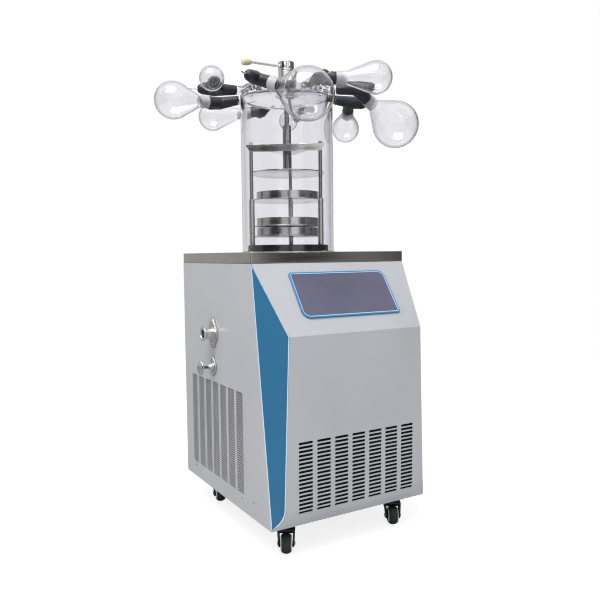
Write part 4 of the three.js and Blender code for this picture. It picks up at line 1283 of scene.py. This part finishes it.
@dataclass
class SideFittings:
    """The vacuum port and the drain valve on the left panel."""

    panel: float = -232.8
    port: Point = (5.0, 519.5)
    drain: Point = (10.0, 427.0)
    drain_reach: float = 44.0
    knob_radius: float = 21.0

    def seat(self, spot: Point) -> Matrix:
        """The place on the panel whose +Z points out of it and whose +Y points up."""
        outward = Matrix(((0, 0, -1, 0), (-1, 0, 0, 0), (0, 1, 0, 0), (0, 0, 0, 1)))
        return Datum.CABINET.matrix() @ shifted(self.panel, *spot) @ outward

    def build(self) -> None:
        """Builds the port, the valve's body and its knob."""
        self.vacuum_port()
        self.drain_valve()

    def flange(self, half_height: float, half_width: float, thick: float) -> Mesh:
        """A rhombic flange with rounded ends and edges."""
        end, lean = half_height * 0.2, 0.35
        outline = []
        for y, radius, start, stop in (
            (half_height - end, end, lean, math.pi - lean),
            (0.0, half_width, math.pi - lean, math.pi + lean),
            (end - half_height, end, math.pi + lean, TAU - lean),
            (0.0, half_width, -lean, lean),
        ):
            for step in range(9):
                angle = start + (stop - start) * step / 8
                outline.append((radius * math.cos(angle), y + radius * math.sin(angle)))
        return slab(outline, 0, thick, edge=0.8, segments=3)

    def fitting(
        self, name: str, node: str, flange: Point, stem: Sequence[Point], spot: Point, screw: Point,
        finishes: Sequence[Finish],
    ) -> None:
        """A turned stem on a flange that two screws hold to the panel.

        Args:
            name: The piece's name.
            node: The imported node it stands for.
            flange: The flange's half height, half width and thickness.
            stem: The stem's section.
            spot: Its place on the panel, as (Y, Z).
            screw: How far the screws lie from the middle, and a head's radius.
            finishes: Of the stem, of the flange and of the stem's thin part, if it has one.
        """
        thick = flange[2]
        mesh = united(self.flange(*flange), turned(stem))
        for face in mesh.polygons:
            middle = face.center
            thin = math.hypot(middle.x, middle.y) < 4.2 and middle.z > 17.5
            face.material_index = 1 if middle.z <= thick + 0.01 else 2 * thin
        place = self.seat(spot)
        fitted(name, mesh, place, finishes, [node])
        out, radius = screw
        name = f"{name.rsplit('_', 1)[0]}_screws"
        screws(name, [(0, out, thick), (0, -out, thick)], radius, place, node)

    def vacuum_port(self) -> None:
        """A clamped pipe stub with a wide rim, on a rhombic flange."""
        stub = [
            (0, 1), (16.5, 1), (16.5, 8.5, 1.5), (14, 9.5), (14, 26, 2), (20, 30, 0.4), (20, 34, 0.6),
            (13.6, 34, 0.4), (13, 32.5, 0.4), (12, 32, 0.3), (12, 3), (0, 3),
        ]
        finishes = [BRIGHT_STEEL, FLANGE_STEEL]
        self.fitting("vacuum_port_stub", "vacuum_port", (40, 28, 6), stub, self.port, (31, 4.0), finishes)

    def drain_valve(self) -> None:
        """A stem on a rhombic flange, and the mushroom knob that turns on it."""
        high = self.drain_reach - 10.3
        stem = [
            (0, 3), (12, 3), (12, 7, 1), (9, 8, 0.6), (8.4, 12, 1), (7, 16, 0.8), (4, 17, 0.5),
            (4, high), (0, high),
        ]
        finishes = [BRIGHT_STEEL, FLANGE_STEEL, STEM_STEEL]
        node = "drain_valve_body"
        self.fitting("drain_valve_stem", node, (27, 21, 5), stem, self.drain, (20.6, 3.2), finishes)
        rim, r = self.drain_reach - 6, self.knob_radius
        knob = [
            (0, rim - 4), (6, rim - 4, 1), (7.5, rim - 2, 1), (r - 2, rim - 2, 2), (r, rim + 1, 2),
            (r - 3, rim + 4, 2), (r * 0.55, rim + 5.6, 4), (0, rim + 6.5),
        ]
        place = self.seat(self.drain)
        cap = turned(knob, steps=5)
        fitted("drain_knob_cap", cap, place, [BRIGHT_STEEL], ["drain_valve_knob"])


# ---------------------------------------------------------------- cold trap, drum and lid


@dataclass
class Chamber:
    """The cold trap's well, the clear drum and the clear lid with its eight stubs."""

    radius: float = 130.0
    wall: float = 8.0
    height: float = 430.0
    lid: float = 28.0
    well_depth: float = 250.0
    ports: int = 8
    port_turn: float = -0.9
    droop: float = 0.052

    def port(self, at: int) -> Matrix:
        """A port's place on the lid's rim, with -Y along its drooping axis."""
        turn = self.port_turn + at * TAU / self.ports
        return spun(turn, "Z") @ shifted(0, -self.radius, self.height + 14) @ spun(self.droop, "X")

    def build(self) -> None:
        """Builds the well, the drum and the lid."""
        place = Datum.CHAMBER.matrix()
        outer, inner, high = self.radius, self.radius - self.wall, self.height - GAP
        well, low = inner - 12, 2.0 - self.well_depth
        pot = [
            (0, low - 2), (well + 2, low - 2, 6), (well + 2, 0), (outer + 4, 0), (outer + 4, 2, 0.6),
            (well, 2, 0.8), (well, low, 5), (0, low),
        ]
        fitted("cold_trap_pot", turned(pot, sides=96), place, [RACK_STEEL], ["cold_trap_well"])
        drum = [
            (inner, 3.1), (inner + 0.8, 2.3), (outer - 0.8, 2.3), (outer, 3.1), (outer, high - 0.8),
            (outer - 0.8, high), (inner + 0.8, high), (inner, high - 0.8), (inner, 3.1),
        ]
        fitted("clear_drum", turned(drum, sides=128), place, [ACRYLIC], ["chamber_drum"])
        self.clear_lid(place)

    def clear_lid(self, place: Matrix) -> None:
        """The lid: a thick disc with drilled stubs round its rim."""
        low, high = self.height, self.height + self.lid
        disc = [(0, low), (self.radius, low, 0.8), (self.radius, high, 3), (0, high)]
        stub = [(0, -8), (12, -8), (12, 20, 1), (8, 20.4, 0.5), (8, 38, 0.8), (0, 38)]
        ports = [self.port(at) @ spun(QUARTER, "X") for at in range(self.ports)]
        stubs = [turned(stub, port, 40) for port in ports]
        bores = [bar(18.5, low - 1, high + 1)]
        for at, port in enumerate(ports):
            drop = spun(self.port_turn + at * TAU / self.ports, "Z") @ shifted(0, 25 - self.radius, 0)
            bores += [bar(5, -30, 39, port, 24), bar(5, low - 1, low + 14, drop, 24)]
        mesh = drilled(united(turned(disc, sides=128, steps=4), *stubs), *bores)
        fitted("clear_lid", mesh, place, [LID_ACRYLIC], ["chamber_lid"], 26.0)


# ---------------------------------------------------------------- press

# The rack's turn about the chamber's axis, and its posts, which the plates have holes for.
RACK_TURN = -0.6
POST_CIRCLE = 108.5
POST_HOLE = 5.25
POSTS = [spun(third * TAU / 3, "Z") @ shifted(0, POST_CIRCLE, 0) for third in range(3)]


@dataclass
class Press:
    """The press screw's housing, its lever, its spindle and the plate it lowers."""

    lid_top: float = 458.0
    housing_radius: float = 22.0
    housing_height: float = 48.4
    cap_height: float = 26.0
    lever_turn: float = -1.58
    lever_reach: float = 124.0
    lever_rise: float = 13.0
    plate_top: float = 224.0
    sleeve_top: float = 357.0

    def __post_init__(self) -> None:
        """Works out the place, and the heights of the housing and the cap."""
        self.place = Datum.CHAMBER.matrix()
        self.low = self.lid_top + GAP
        self.cap_low = self.low + self.housing_height + GAP

    def build(self) -> None:
        """Builds the fixed housing, the lever, the spindle and the plate."""
        self.housing()
        self.lever()
        self.plate()

    def housing(self) -> None:
        """The housing with its flange, and the dark spigot that passes through the lid."""
        low, r, bore, spigot, foot = self.low, self.housing_radius, 7, 18, 430
        high = low + self.housing_height
        section = [
            (bore, foot), (spigot, foot, 0.6), (spigot, low), (r + 9, low, 0.6), (r + 9, low + 5, 1),
            (r, low + 6.5, 1), (r, high, 0.8), (bore, high), (bore, foot),
        ]
        mesh = turned(section, finish=lambda radius, height: int(height < low))
        fitted("press_barrel", mesh, self.place, [BRIGHT_STEEL, DARK_STEEL], ["press_housing"])
        angles = (0.4, 0.4 + TAU / 4, 0.4 + TAU / 2, 0.4 - TAU / 4)
        heads = [(26.6 * math.cos(a), 26.6 * math.sin(a), low + 5) for a in angles]
        screws("press_barrel_screws", heads, 2.6, self.place, "press_housing")

    def lever(self) -> None:
        """The turning cap with its rod, and the ivory grip on the rod."""
        r, reach = self.housing_radius, self.lever_reach
        low, high = self.cap_low, self.cap_low + self.cap_height
        cap = turned([
            (0, low), (r, low, 0.6), (r, low + 4, 0.3), (r - 0.8, low + 4.4), (r - 0.8, low + 5.4),
            (r, low + 5.8, 0.3), (r, high, 0.9), (0, high),
        ], steps=4)
        out = spun(self.lever_turn, "Z") @ shifted(0, 0, low + self.lever_rise) @ spun(QUARTER, "X")
        rod = bar(3.5, r - 8, reach, out, 32, 1)
        collar = turned([(0, r - 6), (6, r - 6), (6, r + 2.5, 0.8), (0, r + 2.5)], out, 32, finish=1)
        finishes = [BRIGHT_STEEL, FLANGE_STEEL]
        fitted("lever_cap_rod", merged(cap, rod, collar), self.place, finishes, ["lever_cap"])
        start, end = reach - 14, reach + 14
        grip = turned([
            (4, start), (6.8, start, 0.6), (7.5, start + 3, 2), (9.9, start + 8, 4), (11, end - 9, 5),
            (10, end - 2.5, 3), (4, end, 2), (0, end), (0, reach + GAP), (4, reach + GAP), (4, start),
        ], out, 48, 4)
        fitted("lever_grip", grip, self.place, [IVORY_GRIP], ["lever_knob"])

    def plate(self) -> None:
        """The spindle, and the plate with its screwed hub and its sleeve."""
        foot, end = self.sleeve_top - 15 + GAP, self.cap_low - 6
        spindle = turned([(0, foot), (6.5, foot, 0.5), (6.5, end), (0, end)], sides=40)
        fitted("spindle_bar", spindle, self.place, [POST_STEEL], ["press_spindle"])
        top, hub, sleeve = self.plate_top, self.plate_top + 6, self.sleeve_top
        disc = [
            (0, top - 3), (105.5, top - 3, 0.5), (105.5, top, 0.5), (20, top, 0.4), (20, hub, 0.8),
            (12, hub, 0.4), (12, hub + 44, 0.3), (12.6, hub + 44.6), (12.6, hub + 49.4), (12, hub + 50, 0.3),
            (12, sleeve, 0.6), (6.8, sleeve), (6.8, sleeve - 15), (0, sleeve - 15),
        ]
        mesh = turned(disc, sides=96, finish=lambda radius, z: (z > top) + (top < z <= hub))
        mesh = drilled(mesh, *(bar(POST_HOLE, top - 5, top + 2, spot, 24) for spot in POSTS))
        here = self.place @ spun(RACK_TURN, "Z")
        finishes = [RACK_STEEL, SLEEVE_STEEL, BRIGHT_STEEL]
        fitted("press_plate_hub", mesh, here, finishes, ["press_plate"])
        angles = [quarter * TAU / 4 + 0.4 for quarter in range(4)]
        heads = [(-16 * math.sin(a), 16 * math.cos(a), hub) for a in angles]
        screws("press_plate_screws", heads, 2.8, here, "press_plate")


# ---------------------------------------------------------------- rack


@dataclass
class Rack:
    """The shelf rack: base ring, posts, top plate, shelves and trays."""

    ring_outer: float = 115.0
    ring_inner: float = 97.0
    ring_low: float = 2.3
    ring_top: float = 20.3
    post_radius: float = 4.75
    shelf_tops: tuple[float, ...] = (46.0, 74.0, 147.0)
    shelf_radius: float = 105.5
    tray_radius: float = 89.3
    tray_height: float = 22.0
    bridge_top: float = 297.0
    bridge_thick: float = 4.0
    lip: float = 20.0

    def __post_init__(self) -> None:
        """Places the rack on the chamber's axis."""
        self.place = Datum.CHAMBER.matrix() @ spun(RACK_TURN, "Z")

    def build(self) -> None:
        """Builds the rack from the ring upwards."""
        self.base()
        self.top_plate()
        for at, top in enumerate(self.shelf_tops):
            under = self.ring_top if at == 0 else self.shelf_tops[at - 1]
            self.shelf(at + 1, under, top)
            self.tray(at + 1, top + GAP)

    def base(self) -> None:
        """The dark ring and the three bright posts with their dome nuts."""
        low, high, outer, inner = self.ring_low, self.ring_top, self.ring_outer, self.ring_inner
        ring = [(inner, low), (outer, low, 0.8), (outer, high, 0.8), (inner, high, 0.8), (inner, low)]
        r, nut = self.post_radius, self.bridge_top + GAP
        post = [
            (0, high - 6), (r, high - 6), (r, nut - 4.6), (r - 1.5, nut - 4.3), (r - 1.5, nut),
            (r + 1, nut, 0.3), (r + 1, nut + 2.6, 0.4), (r - 0.2, nut + 3, 0.2), (r - 0.4, nut + 6.4, 2.4),
            (0, nut + 8),
        ]
        mesh = merged(turned(ring, sides=96), *(turned(post, spot, 32, 4, 1) for spot in POSTS))
        fitted("rack_ring_posts", mesh, self.place, [DARK_STEEL, POST_STEEL], ["rack_base"])

    def top_plate(self) -> None:
        """The plate across the posts, folded down along its front edge."""
        front, half, top, rear = -61.0, 105.0, self.bridge_top, POST_CIRCLE + 10
        low, foot = top - self.bridge_thick, top - self.lip
        plate = [(-half, front), (half, front), (half, front + 22)]
        plate += [(13, rear), (-13, rear), (-half, front + 22)]
        lip = [(-half, low + 1), (-half + 9, foot), (half - 9, foot), (half, low + 1)]
        fold = shifted(0, front + 1.5, 0) @ spun(QUARTER, "X")
        collar = [(0, top - 1), (16, top - 1), (16, top + 1, 0.5), (15, top + 4, 0.8), (0, top + 4)]
        whole = united(slab(plate, low, top, edge=0.7), slab(lip, 0, 1.5, fold, 0.4), turned(collar))
        holes = [bar(3.55, low - 1, top + 1, spot, 24) for spot in POSTS]
        mesh = drilled(whole, bar(12.5, low - 1, top + 5), *holes)
        fitted("rack_bridge", mesh, self.place, [BRIDGE_STEEL], ["rack_top_plate"])

    def shelf(self, number: int, under: float, top: float) -> None:
        """A shelf disc with its three spacer tubes."""
        low, radius = top - 2, self.shelf_radius
        disc = turned([(0, low), (radius, low, 0.5), (radius, top, 0.5), (0, top)], sides=96)
        foot = under + GAP
        tube = [(0, foot), (7.2, foot, 0.5), (7.2, top, 0.5), (0, top)]
        mesh = united(disc, *(turned(tube, spot, 32) for spot in POSTS))
        mesh = drilled(mesh, *(bar(POST_HOLE, under - 1, top + 1, spot, 24) for spot in POSTS))
        fitted(f"shelf_{number}_disc", mesh, self.place, [RACK_STEEL], [f"shelf_{number}"])

    def tray(self, number: int, floor: float) -> None:
        """A round tray with a rounded foot and a plain rim."""
        r, high = self.tray_radius, self.tray_height
        section = [(0, 0), (r, 0, 2.4), (r, high, 0.6), (r - 1.5, high, 0.6), (r - 1.5, 1.5, 2), (0, 1.5)]
        mesh = turned(section, shifted(0, 0, floor), 96, 4)
        fitted(f"tray_{number}_dish", mesh, self.place, [TRAY_STEEL], [f"tray_{number}"])


# ---------------------------------------------------------------- valves and flasks


class Size(Enum):
    """Flask sizes: bulb radius, bulb's centre from the mouth, and neck's length."""

    ML100 = (32.0, 55.0, 22.0)
    ML250 = (42.5, 105.0, 28.0)
    ML500 = (52.5, 107.0, 28.0)
    ML1000 = (65.5, 120.0, 28.0)


@dataclass
class Valve:
    """A rubber valve on a port, its turning plug, and the flask on its side arm."""

    number: int
    size: Size
    tilt: float
    roll: float
    barrel: float = 87.0
    barrel_radius: float = 18.0
    barrel_end: float = 15.0
    mouth_radius: float = 13.0
    arm_from: float = 50.0
    arm_reach: float = 48.0
    glass: float = 2.2

    def build(self, chamber: Chamber) -> None:
        """Builds the valve on its port of the chamber's lid."""
        self.place = Datum.CHAMBER.matrix() @ chamber.port(self.number - 1) @ shifted(0, -20.3, 0)
        across = math.sin(self.tilt)
        way = Vector((across * math.sin(self.roll), -math.cos(self.tilt), -across * math.cos(self.roll)))
        self.arm = shifted(0, -self.arm_from, 0) @ along(way)
        self.body()
        self.plug()
        self.flask()

    def body(self) -> None:
        """The moulded body: barrel and side arm flowing into each other, and the ribbed tip."""
        lay, r, reach = spun(QUARTER, "X"), self.barrel_radius, self.arm_reach
        barrel = [
            (0, 0.2), (self.mouth_radius, 0.2, 1.6), (14.4, 22, 6), (r, self.arm_from + 12.5, 12),
            (self.barrel_end, self.barrel, 1.2), (0, self.barrel),
        ]
        arm = [(0, 0), (15.5, 0), (15.8, 20), (16.5, reach - 2), (16.5, reach, 1.4), (0, reach)]
        mesh = united(turned(barrel, lay, 48, 4), turned(arm, self.arm, 48, 4))
        mesh = altered(mesh, "REMESH", mode="VOXEL", voxel_size=1.7, use_smooth_shade=True)
        mesh = altered(mesh, "SMOOTH", factor=0.5, iterations=7)
        tip = [
            (0, reach - 4), (13.9, reach - 4), (13.9, reach + 5, 0.4), (13.2, reach + 6, 0.3),
            (13.2, reach + 8, 0.3), (13.8, reach + 9, 0.4), (13, reach + 20, 2), (4, reach + 20, 0.6),
            (4, reach + 6), (0, reach + 6),
        ]
        mesh = drilled(united(mesh, turned(tip, self.arm, 48)), bar(8.3, -1, 19, lay, 40))
        name = f"valve_body_{self.number}"
        fitted(f"{name}_moulding", mesh, self.place, [VALVE_RUBBER], [name], 42.0)

    def plug(self) -> None:
        """The turning nose with its shank, and its steel vent tube."""
        out, r = shifted(0, -self.barrel - GAP, 0) @ spun(QUARTER, "X"), self.barrel_end
        nose = [
            (0, -20), (7.5, -20), (7.5, 0), (r, 0, 1.2), (r * 0.94, 8, 5), (r * 0.66, 17.6, 6),
            (3.2, 20, 1.5), (0, 20),
        ]
        tube = [(0, 10), (2, 10), (2, 48, 0.2), (1.3, 48, 0.2), (1.3, 38), (0, 38)]
        mesh = merged(turned(nose, out, 48, 5), turned(tube, out, 20, 2, 1))
        name = f"valve_plug_{self.number}"
        fitted(f"{name}_nose", mesh, self.place, [VALVE_RUBBER, BRIGHT_STEEL], [name], 30.0)

    def wall(self, bulb: float, reach: float, neck_radius: float, neck_end: float, steps: int) -> list[Point]:
        """Half of a flask's section, from the neck's end to the pole of the bulb."""
        span = math.hypot(reach - neck_end, neck_radius)
        start = math.atan2(neck_radius, reach - neck_end) + math.acos(bulb / span)
        points: list[Point] = [(neck_radius, neck_end)]
        cone = (bulb * math.sin(start), reach - bulb * math.cos(start))
        for share in (0.25, 0.5, 0.75):
            points.append(tuple(Vector(points[0]).lerp(Vector(cone), share)))
        for step in range(steps):
            angle = start + (math.pi - start) * step / steps
            points.append((bulb * math.sin(angle), reach - bulb * math.cos(angle)))
        return [*points, (0.0, reach + bulb)]

    def flask(self) -> None:
        """The blown flask: a frosted ground neck and a clear round bulb."""
        bulb, reach, neck = self.size.value
        place = self.arm @ shifted(0, 0, self.arm_reach + GAP)
        bore, steps = 14.5, 28
        inside = self.wall(bulb - self.glass, reach, bore, neck, steps)[::-1]
        outside = self.wall(bulb, reach, bore + 3, neck, steps)
        rim = eased([(bore, 2), (bore, 0, 0.8), (bore + 3, 0, 1.2), (bore + 3, 2)], 3)
        profile = [*inside, *rim, *outside]
        form = Form().lathe(profile, place, 72, lambda radius, height: int(height < neck - 4))
        name = f"flask_{self.number}"
        fitted(f"{name}_glass", form.mesh(), self.place, [GLASS, FROST], [name], 40.0)


# ---------------------------------------------------------------- studio


# The surroundings' brightness by the bearing from the camera's side, in degrees to the right.
ROOM_BANDS = [
    (-180, 0.22), (-160, 0.5), (-76, 0.5), (-60, 0.04), (-26, 0.04), (-18, 0.65), (0, 0.65), (3, 0.22),
    (10, 0.22), (13, 1.0), (36, 1.0), (46, 0.05), (62, 0.05), (68, 0.25), (76, 0.25), (84, 0.12),
    (150, 0.12), (180, 0.22),
]


@dataclass(frozen=True)
class Lamp:
    """An area lamp: where it hangs, the height it is aimed at, its size in metres and its watts."""

    name: str
    spot: Point
    aim: float
    size: float
    power: float
    mirrored: bool = True

    def hang(self) -> None:
        """Adds the lamp, seen in shiny surfaces or not."""
        data = bpy.data.lights.new(self.name, "AREA")
        data.size = self.size
        data.energy = self.power
        made = linked(self.name, data)
        made.visible_glossy = made.visible_transmission = self.mirrored
        way = Vector((0, 0, self.aim)) - Vector(self.spot)
        turn = way.to_track_quat("-Z", "Y").to_matrix().to_4x4()
        made.matrix_world = Matrix.Translation(self.spot) @ turn


LAMPS = [
    Lamp("overhead", (-1.15, -0.96, 3.2), 0.7, 2.2, 88.0),
    Lamp("left", (-3.0, -1.2, 1.6), 0.6, 1.6, 6.0, mirrored=False),
    Lamp("pane_left", (-2.2, -2.0, 2.4), 1.1, 0.22, 5.0),
    Lamp("pane_right", (1.2, -2.8, 2.2), 1.1, 0.18, 4.0),
]


@dataclass
class Studio:
    """The pale floor, the soft lamps, the surroundings and the camera."""

    eye: Point = (-929.015, -1636.765, 728.805)
    yaw: float = 30.56
    pitch: float = -3.94
    roll: float = -0.62
    lens: float = 39.19
    ambient: float = 0.47
    veil: float = 0.6
    floor_half: float = 3.0
    floor_glow: float = 0.82

    def build(self) -> None:
        """Sets the whole studio."""
        scene = bpy.context.scene
        scene.view_settings.view_transform = "Standard"
        cycles = scene.cycles
        cycles.max_bounces = cycles.transmission_bounces = cycles.transparent_max_bounces = 24
        cycles.caustics_reflective = cycles.caustics_refractive = False
        cycles.filter_width = 1.1
        self.camera()
        self.surroundings()
        self.floor()
        for lamp in LAMPS:
            lamp.hang()

    def camera(self) -> None:
        """The camera, looking slightly down from the front left."""
        data = bpy.data.cameras.new("camera")
        data.lens = self.lens
        data.sensor_width = 36.0
        data.clip_start, data.clip_end = 0.05, 60.0
        yaw, pitch, roll = (math.radians(angle) for angle in (self.yaw, self.pitch, self.roll))
        level = math.cos(pitch)
        ahead = Vector((math.sin(yaw) * level, math.cos(yaw) * level, math.sin(pitch)))
        right = Vector((math.cos(yaw), -math.sin(yaw), 0))
        up = right.cross(ahead)
        side = right * math.cos(roll) + up * math.sin(roll)
        top = up * math.cos(roll) - right * math.sin(roll)
        camera = linked("camera", data)
        turn = Matrix((side, top, -ahead)).transposed().to_4x4()
        spot = Datum.CABINET.matrix() @ Vector(self.eye)
        camera.matrix_world = Matrix.Translation(spot) @ turn
        bpy.context.scene.camera = camera

    def surroundings(self) -> None:
        """White to the eye, with soft grey bands for metal to mirror, and even light."""
        world = bpy.data.worlds.new("studio")
        bpy.context.scene.world = world
        s = Shading(world)
        way = s.node("ShaderNodeTexCoord", {}, {}, "Generated")
        x, y, z = (s.node("ShaderNodeSeparateXYZ", {}, {0: way}, axis) for axis in "XYZ")
        yaw = math.radians(self.yaw)
        fore = x * -math.sin(yaw) - y * math.cos(yaw)
        right = x * math.cos(yaw) - y * math.sin(yaw)
        turn = s.between(right.bearing(fore), -math.pi, math.pi, 0.0, 1.0)
        bands = s.ramp(turn, [((at + 180) / 360, (tone,) * 3) for at, tone in ROOM_BANDS])
        ceiling = s.between(z, 0.36, 0.62, 0.0, 1.0)
        room = bands + (1.0 - bands) * ceiling
        behind = s.between(fore, -0.93, -0.7, 1.0, 0.0)
        share = s.ray("Glossy Depth").above(0.5) * self.veil + (1.0 - self.veil)
        veiled = room * share + (1.0 - share)
        passed = s.background(veiled + (1.0 - veiled) * behind)
        lit = s.mix(s.ray("Is Glossy Ray"), s.background(self.ambient), s.background(room))
        lensed = s.mix(s.ray("Is Transmission Ray"), lit, passed)
        final = s.mix(s.ray("Is Camera Ray"), lensed, s.background(1.0))
        s.surface(final, "ShaderNodeOutputWorld")

    def floor(self) -> None:
        """A wide pale floor that keeps the shadow."""
        bm = bmesh.new()
        bmesh.ops.create_grid(bm, x_segments=2, y_segments=2, size=self.floor_half)
        mesh = bpy.data.meshes.new("floor")
        bm.to_mesh(mesh)
        bm.free()
        material = bpy.data.materials.new("floor")
        s = Shading(material)
        matt, dim = s.diffuse((0.9, 0.9, 0.9)), s.diffuse((0.38, 0.38, 0.38))
        keep = s.diffuse((0.36, 0.36, 0.37))
        shining = {"Color": WHITE, "Strength": self.floor_glow}
        glow = s.node("ShaderNodeEmission", {}, shining, "Emission")
        pale = s.node("ShaderNodeAddShader", {}, {0: keep, 1: glow}, "Shader")
        seen = s.ray("Is Camera Ray").most(s.ray("Is Transmission Ray"))
        s.surface(s.mix(seen, s.mix(s.ray("Is Glossy Ray"), matt, dim), pale))
        mesh.materials.append(material)
        floor = linked("floor", mesh)
        floor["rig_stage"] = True


# ---------------------------------------------------------------- the whole dryer

VALVES = [
    Valve(1, Size.ML1000, 1.32, 1.2),
    Valve(2, Size.ML250, 1.26, 1.62),
    Valve(3, Size.ML1000, 1.01, 1.01),
    Valve(4, Size.ML250, 1.16, 1.23),
    Valve(5, Size.ML100, 1.13, 1.4),
    Valve(6, Size.ML250, 1.15, 1.47),
    Valve(7, Size.ML500, 0.91, 1.53),
    Valve(8, Size.ML100, 1.12, 1.62),
]


def casters(cabinet: Cabinet) -> list[Caster]:
    """The casters under the cabinet's corners, with the front pair turned further."""
    side, fore, aft = cabinet.half - 67.5, cabinet.front - 37.5, cabinet.rear - 85.5
    return [
        Caster(f"{end}_{name}", sign * side, y, turn)
        for end, y, turn in (("front", fore, -0.53), ("rear", aft, -0.35))
        for name, sign in (("left", -1), ("right", 1))
    ]


def main() -> None:
    """Builds the dryer and the studio, and notes both boxes."""
    logging.basicConfig(level=logging.INFO, format="%(name)s %(message)s")
    Studio().build()
    cabinet = Cabinet()
    cabinet.build()
    for caster in casters(cabinet):
        caster.build()
    SideFittings().build()
    chamber = Chamber()
    chamber.build()
    Press().build()
    Rack().build()
    for valve in VALVES:
        valve.build(chamber)
    boxes = [[list(corner) for corner in box] for box in (CAD_BOX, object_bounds())]
    for axis, name in enumerate("XYZ"):
        cad, seen = ([box[0][axis], box[1][axis]] for box in boxes)
        log.info("%s: packed %.4f to %.4f, shown %.4f to %.4f", name, *cad, *seen)


if __name__ == "__main__":
    main()
